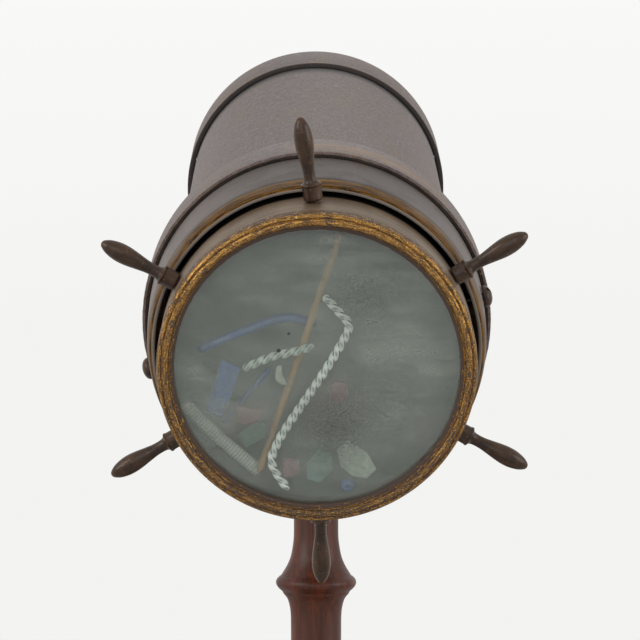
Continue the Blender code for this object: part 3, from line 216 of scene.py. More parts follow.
# %% What the finishes share
class Finish(Shading):
    """A material. Plain values are set on its main shader's own sockets."""

    def __init__(self, name, **values):
        self.material = bpy.data.materials.new(name)
        super().__init__(self.material)
        self.shader = self.tree.nodes["Principled BSDF"]
        for key, value in values.items():
            self.shader.inputs[key.replace("_", " ")].default_value = value
        print("finish:", name)

    def at(self, axis):
        """The x, y or z of a point, or its radius from the z axis."""
        parts = self.add("SeparateXYZ", (self.add("TexCoord")["Object"],))
        if axis != "radius":
            return parts["xyz".index(axis)]
        flat = self.add("CombineXYZ", (parts[0], parts[1]))[0]
        return self.add("VectorMath", (flat,), operation="LENGTH")["Value"]

    def grain(self, size_mm, detail=3.0, stretch=(1, 1, 1), roughness=0.5):
        """Noise whose lumps are size_mm across. Stretch draws them out along x, y and z."""
        place = self.add("TexCoord")["Object"]
        drawn = self.add("Mapping", {"Vector": place, "Scale": [1 / s for s in stretch]})[0]
        return self.add("TexNoise", {"Vector": drawn, "Scale": 1 / (size_mm * MM), "Detail": detail,
                                     "Roughness": roughness})[0]

    def marks(self, along_mm, across_mm, detail=3.0):
        """Noise drawn out around the axis: along_mm around it and across_mm across."""
        slow, fast = 1 / (along_mm * MM), 1 / (across_mm * MM)
        scales = (("x", slow), ("y", slow), ("radius", fast), ("z", fast))
        x, y, radius, z = (self.share(self.at(axis), scale) for axis, scale in scales)
        place = self.add("CombineXYZ", (x, y, radius))[0]
        return self.add("TexNoise", {"Vector": place, "W": z, "Scale": 1.0, "Detail": detail},
                        noise_dimensions="4D")[0]

    def link(self, socket, name):
        self.tree.links.new(socket, self.shader.inputs[name])

    def lay(self, colour, roughness=None, relief=None):
        """Link a colour, a reading of roughness, and a relief: a pattern, its depth in mm and strength."""
        self.link(colour, "Base Color")
        if roughness:
            self.link(self.share(roughness), "Roughness")
        if relief:
            height, depth_mm, strength = relief
            bump = self.add("Bump", {"Height": height, "Distance": depth_mm * MM, "Strength": strength})
            self.link(bump[0], "Normal")


FINISH = {}      # each finish by its key. In the cells below, f is the finish in the making

# %% [markdown]
# ## French-polished mahogany
# The stand is mahogany, turned and then polished with shellac. The eye gets dark streaks of open pores
# along the grain, a red glow where light enters the polish, and a grey sheen at the edges. The column's
# grain stands upright, as it was turned between centres. The foot was turned from a board, so its grain
# lies flat. Pores of mahogany are about 0.2 mm wide. They are drawn 0.7 mm wide so that they show.

# %% Mahogany
for key, name, pore_stretch, band_stretch in (("mahogany", "upright_mahogany", (1, 1, 22), (1, 1, 9)),
                                              ("flat_mahogany", "flat_mahogany", (22, 1, 1), (9, 1, 1))):
    f = FINISH[key] = Finish(name, Roughness=0.42, Coat_Weight=0.12, Coat_Roughness=0.3, IOR=1.5,
                             Specular_IOR_Level=0.25)
    pores, bands = f.grain(0.7, 2.0, pore_stretch), f.grain(5, 2.0, band_stretch)
    dust = f.grain(9, 4.0, (1, 1, 2))
    colour = f.layers("#45200F", (bands, 0.35, 0.68, "#5E2A15"), (pores, 0.36, 0.60, 0.55, 0.0, "#28140D"),
                      (dust, 0.52, 0.85, 0.0, 0.16, "#6B564C"))
    f.lay(colour, (dust, 0.3, 0.8, 0.42, 0.60), (pores, 0.05, 0.5))

# %% [markdown]
# ## Brass in three states, and steel
# Lacquered brass goes brown and dull where hands reach it, and nearly black where it was bronzed. The
# drum's wall is brown-grey with fine rubbing marks around it. The handles are darker, with the metal
# bared at their swelling. The fittings are plain old brass, and the bolt is blackened steel. Metals keep
# the default IOR. Rubbing marks are 0.4 mm apart, as they were cut.

# %% Brass and steel
COLLAR_GAP_SHADE_START = 19.8 * MM      # painted shade: from here on the drum goes nearly black inside the collar's gap
COLLAR_GAP_SHADE_END = COLLAR_GAP_SHADE_START + 1 * MM

f = FINISH["drum_brass"] = Finish("brown_lacquered_brass", Metallic=0.25, Roughness=0.5)
marks, specks = f.marks(26, 0.4), f.grain(0.6, roughness=0.65)
# The last layer is painted shade, nearly black where the drum runs into the collar's gap
colour = f.layers("#655442", (f.grain(11), 0.35, 0.7, "#776653"), (marks, 0.50, 0.72, 0.0, 0.5, "#4E4035"),
                  (specks, 0.60, 0.70, 0.0, 0.5, "#A08C72"),
                  (f.at("z"), COLLAR_GAP_SHADE_START, COLLAR_GAP_SHADE_END, 0.0, 0.95, "#0C0A08"))
f.lay(colour, (marks, 0.3, 0.7, 0.40, 0.60), (marks, 0.03, 0.35))

f = FINISH["dark_brass"] = Finish("bronzed_handle_brass", Metallic=0.2, Roughness=0.45, Coat_Weight=0.3,
                                  Coat_Roughness=0.15, Specular_IOR_Level=0.15)
cloud, marks, specks = f.grain(3.0, 4.0, (1, 1, 2.5)), f.marks(6, 0.5), f.grain(0.7, 3.0, (1, 1, 1.5), 0.65)
colour = f.layers("#281A11", (cloud, 0.32, 0.66, "#422E1E"), (marks, 0.56, 0.78, 0.0, 0.5, "#6A4F35"),
                  (specks, 0.64, 0.72, 0.0, 0.5, "#8C6C3A"))
f.lay(colour, (cloud, 0.3, 0.7, 0.34, 0.52), (marks, 0.04, 0.4))

f = FINISH["old_brass"] = Finish("aged_brass", Metallic=0.85, Roughness=0.42)
cloud, fine = f.grain(7), f.grain(0.6, 2.0)
colour = f.layers("#6A5335", (cloud, 0.30, 0.72, "#8C7044"), (fine, 0.62, 0.80, 0.0, 0.4, "#4C3B28"))
f.lay(colour, (cloud, 0.3, 0.7, 0.56, 0.34), (fine, 0.03, 0.3))

f = FINISH["steel"] = Finish("blackened_steel", Metallic=0.9, Roughness=0.5)
cloud = f.grain(1.5, 4.0)
f.lay(f.layers("#35302C", (cloud, 0.35, 0.7, "#6B655E")), (cloud, 0.3, 0.7, 0.42, 0.62), (cloud, 0.03, 0.3))

# %% [markdown]
# ## Gilding
# The ring around the glass is gold over a brown ground. Handling wears the gold along the turning, so
# brown shows as short dashes, and the lower parts of the profile keep less gold. Painted shade browns
# the lip by the glass, and reaches further out at the top. A painted highlight adds gold on the outer bead
# and the top, and painted shade takes a little away at the bottom. The dashes are a quarter of a
# millimetre wide and a few millimetres long.

# %% Gilt
GOLD_LIGHT, GOLD, GOLD_DEEP, GROUND_BROWN = "#CFA660", "#9C7136", "#664722", "#3A271B"

f = FINISH["worn_gilt"] = Finish("worn_gilt", Metallic=0.6, Roughness=0.45)
y, radius = f.at("y"), f.at("radius")
# Each reading adds gold or takes it away. The lower parts of the profile lose a little. The lip by the
# glass loses most as painted shade, which reaches further out at the top. The outer bead and the top gain
# a little as a painted highlight, and the bottom loses a little as painted shade.
radius_for_lip_shade = f.share(radius, (y, -40 * MM, 10 * MM, -0.9 * MM, 0.3 * MM), joined="ADD")
lower_profile_and_lip_shade = f.share((f.at("z"), -1.7 * MM, -0.6 * MM, 0.02, -0.08), (radius_for_lip_shade, 43.6 * MM, 44.0 * MM, -0.24, 0.0),
                 joined="ADD")
# rim is a painted highlight on the outer bead and the top, with painted shade at the bottom
rim = f.share((radius, 47.4 * MM, 47.9 * MM, 0.0, 0.03), (y, -40 * MM, 40 * MM, 0.015, -0.035), joined="ADD")
darkening_and_highlight = f.share(lower_profile_and_lip_shade, rim, joined="ADD")
dashes, flecks, chips = f.marks(2.2, 0.25, 4.0), f.grain(0.5, roughness=0.7), f.grain(3.2, 4.0, roughness=0.6)
kept = f.add("Math", (dashes, 0.68, f.share(flecks, 0.32)), operation="MULTIPLY_ADD")[0]
kept = f.share(kept, darkening_and_highlight, (chips, 0.60, 0.68, 0.0, -0.10), joined="ADD")
kept = f.share((kept, 0.46, 0.52))
gold = f.layers(GOLD_DEEP, (f.marks(4, 0.32), 0.40, 0.62, GOLD), (flecks, 0.54, 0.66, GOLD_LIGHT))
f.lay(f.layers(GROUND_BROWN, (kept, gold)), (kept, 0.0, 1.0, 0.65, 0.38), (kept, 0.10, 0.9))
f.link(f.share((kept, 0.0, 1.0, 0.0, 0.75)), "Metallic")

# %% [markdown]
# ## Japanned tin
# The collar is spun tin under baked varnish, with a gilt line by its rolled lip. Old japan is smooth
# and a little cloudy. Painted shade darkens its top and the wall just behind the line, a painted lighter
# tone brightens its sides, and the line is brighter gold along its back edge.

# %% Japanned tin with its gilt line
LINE_R = 51.3 * MM             # where the line starts on the roll
LINE_BACK = 25.3 * MM          # and where it ends on the wall
LINE_EDGE = 0.25 * MM

f = FINISH["japanned_tin"] = Finish("japanned_tin", Roughness=0.5, IOR=1.5, Specular_IOR_Level=0.12)
y, z = f.at("y"), f.at("z")
cloud, marks, spots = f.grain(9, 4.0), f.marks(30, 0.9), f.grain(0.6)
# Painted shade on the top and just behind the gilt line, and a painted lighter tone towards the sides
top_shade = f.share((y, -52 * MM, -36 * MM, 0.45, 0.0), (cloud, 0.40, 0.60, 0.4, 1.0))
tin = f.layers("#635B58", (cloud, 0.34, 0.68, "#756D69"), (marks, 0.52, 0.8, 0.0, 0.5, "#3E3530"),
               (spots, 0.58, 0.70, 0.0, 0.4, "#94897F"), (top_shade, "#38322F"),
               (y, -32 * MM, 5 * MM, 0.0, 0.4, "#958B85"),
               (z, LINE_BACK, LINE_BACK + 14 * LINE_EDGE, 0.65, 0.0, "#33281F"))
bright = f.share((z, LINE_BACK - 6 * LINE_EDGE, LINE_BACK - 2 * LINE_EDGE),
                 (f.marks(9, 0.5), 0.40, 0.58, 0.1, 0.6))
gold = f.layers("#2E1D0B", (f.marks(5, 0.35, 4.0), 0.40, 0.62, "#6E4A17"),
                (spots, 0.60, 0.72, 0.0, 0.6, "#8C6A30"), (bright, "#96702F"))
bare = f.share((f.at("radius"), LINE_R - LINE_EDGE, LINE_R, 1.0, 0.0))
back = f.share((z, LINE_BACK, LINE_BACK + LINE_EDGE, 1.0, 0.0))
f.lay(f.layers(tin, (back, gold), (bare, "#857E76")), (cloud, 0.3, 0.7, 0.42, 0.56), (marks, 0.02, 0.25))
gilded = f.add("Math", (1.0, bare), operation="SUBTRACT")[0]
f.link(f.share(back, gilded, 0.5), "Metallic")

# %% [markdown]
# ## Book cloth, pasteboard and card
# The barrel is rolled pasteboard under dark book cloth that was embossed with a fine grain. Rubbing has
# turned its raised grain tan along the edges, and smoke has browned it in broad patches. Embossing of
# this kind repeats every 0.4 mm or so. It is drawn at 0.7 mm, which is two pixels of the photograph.

# %% Book cloth
def embossed_book_cloth(name, rubbed_at=(), painted_shade_at=None, patch_at=None):
    """Cloth with rubbed stripes (start, end, strength) and one stretch of painted shade (start, end) along
    the axis.
    Patch_at is the start, middle and end of a rubbed patch on top."""
    f = Finish(name, Roughness=0.78, IOR=1.45, Sheen_Weight=0.15, Sheen_Roughness=0.5)
    z = f.at("z")
    pebble, mottle = f.grain(0.7, 2.0, roughness=0.6), f.grain(2.2, 4.0, roughness=0.65)
    colour = f.layers("#5E514E", (mottle, 0.34, 0.68, "#726663"),
                      (f.grain(26), 0.44, 0.66, 0.0, 0.45, "#6F5B49"),
                      (pebble, 0.36, 0.64, 0.40, 0.0, "#3A302E"))
    worn = f.share((f.grain(6, 5.0, roughness=0.7), 0.58, 0.70, 0.0, 0.45), (pebble, 0.40, 0.62))
    for start, end, strength in rubbed_at:
        middle = (start + end) / 2
        stripe = f.share((z, start, middle), (z, middle, end, 1.0, 0.0))
        smear = f.share((f.marks(9, 0.7, 4.0), 0.44, 0.60, 0.0, strength))
        worn = f.add("Math", (stripe, smear, worn), operation="MULTIPLY_ADD")[0]
    if patch_at:
        start, middle, end = patch_at
        x = f.at("x")
        along = f.share((z, start, middle), (z, middle, end, 1.0, 0.0))
        upper = f.share((x, -14 * MM, 0.0), (x, 20 * MM, 50 * MM, 1.0, 0.0), (f.at("y"), 0.0, -20 * MM))
        smear = f.share((f.marks(14, 1.2, 4.0), 0.34, 0.56, 0.0, 1.6))
        worn = f.add("Math", (f.share(along, upper), smear, worn), operation="MULTIPLY_ADD")[0]
    colour = f.layers(colour, (f.share(worn, 1.0, joined="MINIMUM"), "#82664C"))
    # Painted shade, darkest at the stretch's start
    if painted_shade_at:
        colour = f.layers(colour, (z, *painted_shade_at, 1.0, 0.0, "#2A221E"))
    f.lay(colour, (pebble, 0.3, 0.7, 0.88, 0.64), (pebble, 0.12, 0.6))
    return f


# The cover has painted shade in front of the end band's step
FINISH["covering_cloth"] = embossed_book_cloth("embossed_book_cloth", [(72 * MM, 92 * MM, 0.25)],
                                               (236.6 * MM, 228 * MM))
FINISH["shoulder_cloth"] = embossed_book_cloth("rubbed_book_cloth", [(49.5 * MM, 54 * MM, 0.4)],
                                               patch_at=(52 * MM, 57 * MM, 67 * MM))
# The band has painted shade on its front face
FINISH["band_cloth"] = embossed_book_cloth("banded_book_cloth",
                                           [(237.6 * MM, 241 * MM, 1.0), (261 * MM, 265 * MM, 0.9)],
                                           (238.0 * MM, 238.6 * MM))

# %% Pasteboard, card and beech
f = FINISH["pasteboard"] = Finish("raw_pasteboard", Roughness=0.9)
plies = f.marks(6, 0.3, 4.0)
f.lay(f.layers("#150E08", (plies, 0.40, 0.62, "#302212"), (f.grain(1.2), 0.66, 0.74, "#7A5C34")),
      relief=(plies, 0.1, 0.7))

f = FINISH["black_card"] = Finish("blacked_card", Roughness=0.9)
fibre = f.grain(0.8, 3.0, (3, 1, 1))
f.lay(f.layers("#121110", (fibre, 0.35, 0.7, "#25221F")), relief=(fibre, 0.05, 0.4))

f = FINISH["plain_wood"] = Finish("plain_turned_beech", Roughness=0.65, IOR=1.45)
flecks, bands = f.grain(0.7, 2.0, (1, 9, 1)), f.grain(4, 3.0, (1, 12, 1))
f.lay(f.layers("#74563A", (bands, 0.30, 0.72, "#876847"), (flecks, 0.56, 0.76, 0.0, 0.5, "#54402C")),
      relief=(flecks, 0.05, 0.4))

# %% [markdown]
# ## Glass
# The front glass is old, greenish and dusty, and its inner face is ground. So what touches it shows
# sharp and what lies deeper blurs, because a rough face bends light a little each way. Dust covers a
# share of that face. Powder from the tumbling pieces lies on it in soft clouds: pale where it was wiped,
# reddish by the red pieces and dark where it is thick. The long cane has rubbed its own track clean.
# Lamp light that passes through a rough face is hard to trace, so shadow rays go straight through.

# %% Front glass and its dust
SIGHT_R = 43.3 * MM
INNER_FACE = 2.9 * MM
GLASS_TINT = "#EEF3F0"
GROUND_ROUGHNESS = 0.20
FILM_THIN, FILM_THICK = 0.18, 0.36      # share of the inner face that dust covers
# Each cloud's place across and up, its size, as shares of the sight radius, and its depth
DARK_CLOUDS = (
    (0.30, 0.50, 0.40, 0.65), (0.10, -0.50, 0.46, 0.70), (0.45, -0.25, 0.45, 0.40), (-0.45, 0.62, 0.45, 0.30),
)
PALE_CLOUDS = (
    (-0.92, -0.14, 0.32, 0.55), (0.30, -0.78, 0.24, 0.20), (0.45, 0.10, 0.25, 0.25), (0.85, 0.10, 0.50, 0.25),
    (0.15, 0.80, 0.55, 0.30), (-0.70, -0.42, 0.42, 0.30),
)
RED_CLOUDS = (
    (0.06, -0.27, 0.44, 0.55), (-0.50, -0.43, 0.30, 0.45), (-0.25, -0.75, 0.24, 0.45),
    (0.82, -0.52, 0.34, 0.25),
)
RUBBED_CLEAN = (      # where the long twisted cane rubs on the glass: across, up and size
    (0.13, 0.41, 0.16), (0.21, 0.27, 0.17), (0.14, 0.09, 0.17), (0.04, -0.07, 0.17), (-0.06, -0.23, 0.17),
    (-0.16, -0.38, 0.17), (-0.25, -0.53, 0.17), (-0.30, -0.70, 0.17), (-0.24, -0.87, 0.16),
)
RUBBED_AWAY = 0.5                                            # share of the film that the cane took off
SPECKS = ((-0.267, 0.116, 0.50), (-0.197, 0.238, 0.30))      # black specks: across, up and size in mm
SPECK_EDGE = 0.3


def cloud_at(f, across, up, start, end, depth):
    """A soft round share that falls from depth to nothing between two distances."""
    centre = (across * SIGHT_R, -up * SIGHT_R, INNER_FACE)
    away = f.add("VectorMath", (f.add("TexCoord")["Object"], centre), operation="DISTANCE")["Value"]
    return f.share((away, start, end, depth, 0.0))


f = FINISH["frosted_glass"] = Finish("dusty_front_glass", Transmission_Weight=1.0, IOR=1.5,
                                     Base_Color=linear(GLASS_TINT))
inner = f.share((f.at("z"), 1.2 * MM, 2.2 * MM))
f.link(f.share((inner, 0.0, 1.0, 0.05, GROUND_ROUGHNESS)), "Roughness")
speck, wiped = f.grain(0.55, roughness=0.75), f.grain(5, 5.0, (4, 1, 1), 0.65)
cloud = f.grain(20, 5.0, roughness=0.6)
smears, powder = f.share((wiped, 0.35, 0.65, 0.3, 1.0)), f.share((speck, 0.42, 0.58, 0.35, 1.0))
film = f.share((cloud, 0.34, 0.68, FILM_THIN, FILM_THICK), (wiped, 0.36, 0.68, 0.0, 0.09), joined="ADD")
colour = f.layers("#828781", (wiped, 0.36, 0.68, "#9B9D95"))
for across, up, size in RUBBED_CLEAN:
    rubbed = cloud_at(f, across, up, 0.0, size * SIGHT_R, RUBBED_AWAY)
    film = f.share(film, f.add("Math", (1.0, rubbed), operation="SUBTRACT")[0])
POWDERS = ((PALE_CLOUDS, smears, "#B4B9B0", 0.35), (RED_CLOUDS, powder, "#6E4C49", 0.2),
           (DARK_CLOUDS, powder, "#1B1F1D", 0.55))
for clouds, texture, tint, cover in POWDERS:
    for across, up, size, depth in clouds:
        share = f.share(cloud_at(f, across, up, 0.0, size * SIGHT_R, depth), texture)
        colour = f.layers(colour, (share, tint))
        film = f.add("Math", (share, cover, film), operation="MULTIPLY_ADD")[0]
for across, up, size in SPECKS:
    share = cloud_at(f, across, up, size * MM, (size + SPECK_EDGE) * MM, 0.95)
    colour = f.layers(colour, (share, "#16181B"))
    film = f.share(film, share, joined="MAXIMUM")
colour = f.layers(colour, (speck, 0.40, 0.62, 0.16, 0.0, "#4C524E"), (speck, 0.70, 0.80, 0.0, 0.5, "#D5DAD4"))
straight = f.add("BsdfTransparent", {"Color": linear(GLASS_TINT)})[0]
clear = f.add("MixShader", (f.add("LightPath")["Is Shadow Ray"], f.shader.outputs[0], straight))[0]
dust = f.add("BsdfDiffuse", {"Color": colour})[0]
f.show(f.add("MixShader", (f.share(film, inner), clear, dust))[0])

# %% Other plate glass and the mirrors
f = FINISH["clear_glass"] = Finish("clear_plate_glass", Roughness=0.05, IOR=1.5)
film = f.grain(12)
f.lay(f.layers("#7F8C85", (film, 0.35, 0.7, "#A2ADA6")), (film, 0.4, 0.8, 0.03, 0.25))
f.link(f.share((film, 0.3, 0.8, 0.25, 0.50)), "Alpha")

f = FINISH["ground_glass"] = Finish("ground_plate_glass", Roughness=0.6, IOR=1.5, Alpha=0.92)
f.lay(f.layers("#797E79", (f.grain(18), 0.34, 0.68, "#8B8F89"),
               (f.grain(1.0), 0.3, 0.7, 0.25, 0.0, "#727A75")))

f = FINISH["mirror"] = Finish("silvered_plate_glass", Metallic=1.0, Roughness=0.04)
spots = f.grain(6, 5.0, roughness=0.7)
f.lay(f.layers("#C4CAC7", (spots, 0.66, 0.74, "#4A4640")), (spots, 0.6, 0.75, 0.03, 0.4))

# %% Coloured and white cane and chips
# Each one's name and two colours. Worked cane also has a colour of painted shade for its grooves and one
# of painted shade for the middle of each lobe that faces the front
LAMP_WORKED = {
    "white_glass": ("opal_cane", "#A9AFA3", "#BFC4B8"),
    # The two twisted canes are one glass: the long one a lit copy, the short one a shaded copy painted darker
    "lit_twist": ("near_twisted_cane", "#F6F8F2", "#FEFEFB", "#56605A", "#9BA69C"),
    "shaded_twist": ("far_twisted_cane", "#CDD2C9", "#E0E4DB", "#6C766F", "#98A39A"),
    "ribbed_glass": ("ribbed_cane", "#CDCFC6", "#DEE0D6", "#AFB3AA", "#CDCFC6"),
    "amber_glass": ("amber_cane", "#A9855A", "#B8966E"),
    "blue_glass": ("cobalt_glass", "#566A96", "#6A7BA6"),
    "green_glass": ("bottle_green_glass", "#446656", "#587A68"),
    "red_glass": ("rose_glass", "#866366", "#98787A"),
    "teal_glass": ("teal_glass", "#62807A", "#7B9690"),
}
for key, (name, dark, light, *worked) in LAMP_WORKED.items():
    f = FINISH[key] = Finish(name, Transmission_Weight=0.1, Roughness=0.08, IOR=1.52)
    streak = f.grain(1.6, 2.0)
    colour = f.layers(dark, (streak, 0.35, 0.68, light))
    if worked:
        groove, crown = worked
        # The crest share lays painted shade in the grooves and a painted highlight where the threads cross in
        # front
        crest = f.add("Attribute", attribute_name="crest")["Fac"]
        colour = f.layers(colour, (crest, 1.06, 1.20, crown))
        colour = f.layers(groove, (crest, 0.62, 0.78, colour))
    f.lay(colour, (streak, 0.3, 0.7, 0.05, 0.16))

# %% Which finish goes on which piece
slot_of = {row["node"]: row["material_slot"] for row in frame["record"]["subparts"]}
OTHER_FINISH = {      # pieces whose look is a special one of their slot's
    "base": "flat_mahogany", "wheel_drum": "drum_brass", "shoulder_cover": "shoulder_cloth",
    "rear_band": "band_cloth", "rear_glass": "ground_glass", "twisted_rod_long": "lit_twist",
    "twisted_rod_short": "shaded_twist", "ribbed_rod": "ribbed_glass",
}


def finish_of(node):
    return FINISH[OTHER_FINISH.get(node, slot_of[node])].material


print("finishes:", len(FINISH))

# %% [markdown]
# ## The lathe
# A turned piece is an outline spun about an axis. On the real lathe no corner stays quite sharp, so the
# outline's corners are eased first. Long curves are drawn through a few points that were measured.

# %% Outlines
def eased(outline, radius, closed=True, steps=3):
    """The outline with its corners rounded by a small curve that starts up to radius from each corner."""
    count = len(outline)
    made = []
    for i, (r, a) in enumerate(outline):
        if not closed and i in (0, count - 1):
            made.append((r, a))
            continue
        corner = Vector((r, a))
        before, after = Vector(outline[i - 1]) - corner, Vector(outline[(i + 1) % count]) - corner
        reach = min(radius, 0.45 * before.length, 0.45 * after.length)
        start, end = corner + before.normalized() * reach, corner + after.normalized() * reach
        for step in range(steps + 1):
            t = step / steps
            made.append(tuple(start * (1 - t) ** 2 + corner * 2 * t * (1 - t) + end * t ** 2))
    return made


def flowing(points, per_span=4):
    """A smooth curve through the points, of any number of coordinates."""
    points = [Vector(p) for p in points]
    ends = [points[0]] + points + [points[-1]]
    made = []
    for a, b, c, d in zip(ends, ends[1:], ends[2:], ends[3:]):
        for step in range(per_span):
            t = step / per_span
            made.append(0.5 * (2 * b + (c - a) * t + (2 * a - 5 * b + 4 * c - d) * t ** 2
                               + (3 * b - a - 3 * c + d) * t ** 3))
    return [tuple(p) for p in made + [points[-1]]]


# %% Putting a piece in its place
SHARP = math.radians(38)         # edges steeper than this stay crisp
SAME_POINT = 0.0005 * MM         # points closer than this become one


def as_object(bm, place=UPRIGHT, name="tool"):
    """An object made from the mesh, which is used up."""
    bmesh.ops.recalc_face_normals(bm, faces=bm.faces)
    mesh = bpy.data.meshes.new(name)
    bm.to_mesh(mesh)
    bm.free()
    made = bpy.data.objects.new(name, mesh)
    bpy.context.scene.collection.objects.link(made)
    made.matrix_world = place
    return made


def put_in_place(name, bm, body, node, place):
    """Make the piece from its mesh, let it ride on its body and stand for its solid."""
    bmesh.ops.remove_doubles(bm, verts=bm.verts, dist=SAME_POINT)
    piece = as_object(bm, place, name)
    piece.data.materials.append(finish_of(node))
    piece.data.shade_smooth()
    piece.data.set_sharp_from_angle(angle=SHARP)
    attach(piece, body)
    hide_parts(node)
    print(name, len(piece.data.vertices), "points")


# %% Spinning an outline
RING_SIDES = 192
POST_SIDES = 96
SMALL_SIDES = 40
WELD = 0.002 * MM                # a point nearer to the axis than this lies on it


def spun(outline, sides, closed=True, wobble=None):
    """Mesh of an outline of (radius, along) spun about z. Wobble(angle, radius, along) moves a point."""
    bm = bmesh.new()
    rings = []
    for r, along in outline:
        if r < WELD:
            rings.append([bm.verts.new((0, 0, along))])
            continue
        ring = []
        for i in range(sides):
            angle = FULL_TURN * i / sides
            r_here, along_here = wobble(angle, r, along) if wobble else (r, along)
            ring.append(bm.verts.new((r_here * math.cos(angle), r_here * math.sin(angle), along_here)))
        rings.append(ring)
    pairs = list(zip(rings, rings[1:]))
    if closed:
        pairs.append((rings[-1], rings[0]))
    for low, high in pairs:
        for i in range(sides):
            j = (i + 1) % sides
            corners = (low[i % len(low)], low[j % len(low)], high[j % len(high)], high[i % len(high)])
            unique = list(dict.fromkeys(corners))
            if len(unique) > 2:
                bm.faces.new(unique)
    return bm


def turned(name, outline, sides, body, node, place=ON_BARREL, closed=True, wobble=None):
    put_in_place(name, spun(outline, sides, closed, wobble), body, node, place)

# %% [markdown]
# ## Base and column
# Only the column's middle is in the photograph: a concave neck, a thick bead between two fine fillets,
# and a plain shaft. The foot and the base are in the taste of such stands and match the solids.

# %% Base
BASE_SIDES = 160
BASE_R = 75 * MM
BASE_HEIGHT = 20 * MM
SOCKET_R = 6.3 * MM
SOCKET_FLOOR = 5 * MM
# Shares of the base's radius and height, up its edge and in over the top
EDGE_SHARES = ((0.968, 0.0), (0.99, 0.02), (1.0, 0.09), (1.0, 0.28), (0.992, 0.36), (0.975, 0.42))
COVE_SHARES = ((0.93, 0.435), (0.912, 0.47), (0.905, 0.52), (0.902, 0.56))
TOP_SHARES = ((0.895, 0.585), (0.86, 0.605), (0.82, 0.62), (0.66, 0.70), (0.52, 0.80), (0.46, 0.89),
              (0.44, 0.93))
SEAT_SHARES = ((0.425, 0.95), (0.415, 0.99), (0.40, 1.0))


def shares_of(shares, radius, height, bottom=0.0):
    return [(radius * r, bottom + height * h) for r, h in shares]


outline = [(0, 0), (BASE_R * 0.955, 0)]
for shares in (EDGE_SHARES, COVE_SHARES, TOP_SHARES, SEAT_SHARES):
    outline += flowing(shares_of(shares, BASE_R, BASE_HEIGHT))
outline += [(SOCKET_R, BASE_HEIGHT), (SOCKET_R, SOCKET_FLOOR), (0, SOCKET_FLOOR)]
turned("mahogany_base", outline, BASE_SIDES, "stand", "base", UPRIGHT, closed=False)

# %% Column
BEAD_HEIGHT = 146 * MM
BEAD_R = 14.1 * MM
BEAD_REACH = 21 * MM
NECK_R = 7.8 * MM
WAIST_R = 8.8 * MM
VASE_R = 13.5 * MM
FOOT_R = 21 * MM
FOOT_HEIGHT = 22 * MM
TENON_R = 6 * MM
TOP_TENON_R = 7.4 * MM
SHOULDER_HEIGHT = 170.7 * MM
TENON_TOP = 184.2 * MM
# Shares of the radius and the height of the foot, then of the vase
FOOT_SHARES = ((0.95, 0.0), (0.99, 0.04), (1.0, 0.10), (0.99, 0.20), (0.95, 0.28))
FOOT_NECK_SHARES = ((0.88, 0.30), (0.84, 0.36), (0.62, 0.55), (0.53, 0.80), (0.51, 0.97))
VASE_FOOT_SHARES = ((0.79, 0.0), (0.82, 0.03), (0.79, 0.06))
VASE_SHARES = ((0.70, 0.07), (0.69, 0.10), (0.76, 0.22), (0.95, 0.40), (1.0, 0.54), (0.84, 0.74),
               (0.70, 0.90), (0.652, 1.0))
# Shares of the way from the shaft to the bead, and of the reach above the bead's widest line
BELOW_SHARES = ((0.01, -0.60), (0.06, -0.44), (0.21, -0.29), (0.42, -0.212))
BEAD_SHARES = ((0.49, -0.195), (0.60, -0.145), (0.80, -0.10), (0.95, -0.05), (1.0, 0.0), (0.95, 0.05),
               (0.82, 0.095))
ABOVE_SHARES = ((0.73, 0.11), (0.58, 0.18), (0.35, 0.30), (0.16, 0.45), (0.03, 0.68), (0.0, 0.85))


def bead_point(way, height_share):
    inner = NECK_R if height_share > 0 else WAIST_R
    return inner + (BEAD_R - inner) * way, BEAD_HEIGHT + BEAD_REACH * height_share


foot_bottom = BASE_HEIGHT + GAP
vase_bottom = foot_bottom + FOOT_HEIGHT
vase_height = BEAD_HEIGHT - BEAD_REACH - vase_bottom
outline = [(0, SOCKET_FLOOR + GAP), (TENON_R, SOCKET_FLOOR + GAP), (TENON_R, foot_bottom)]
for shares in (FOOT_SHARES, FOOT_NECK_SHARES):
    outline += flowing(shares_of(shares, FOOT_R, FOOT_HEIGHT, foot_bottom))
for shares in (VASE_FOOT_SHARES, VASE_SHARES):
    outline += flowing(shares_of(shares, VASE_R, vase_height, vase_bottom))
for shares in (BELOW_SHARES, BEAD_SHARES, ABOVE_SHARES):
    outline += flowing([bead_point(*share) for share in shares])
outline += [(NECK_R, SHOULDER_HEIGHT), (TOP_TENON_R, SHOULDER_HEIGHT)]
outline += [(TOP_TENON_R, TENON_TOP), (0, TENON_TOP)]
turned("mahogany_column", outline, POST_SIDES, "stand", "column", UPRIGHT, closed=False)

# %% [markdown]
# ## Tilting joint
# A brass cup sits on the column's tenon, and its two ears hold the saddle's lug on a bolt with a thumb
# nut. Ears and wings are plates with softened edges, joined to the turned parts as they are soldered
# on the real one. An exact boolean makes each one body.

# %% Plates and joining
BEVEL_ANGLE = math.radians(60)


def softened(bm, edge):
    """The mesh with its faces turned outwards and its sharp edges bevelled."""
    bmesh.ops.recalc_face_normals(bm, faces=bm.faces)
    rims = [e for e in bm.edges if len(e.link_faces) == 2 and e.calc_face_angle() > BEVEL_ANGLE]
    bmesh.ops.bevel(bm, geom=rims, offset=edge, segments=2, affect="EDGES", profile=0.5)
    return bm


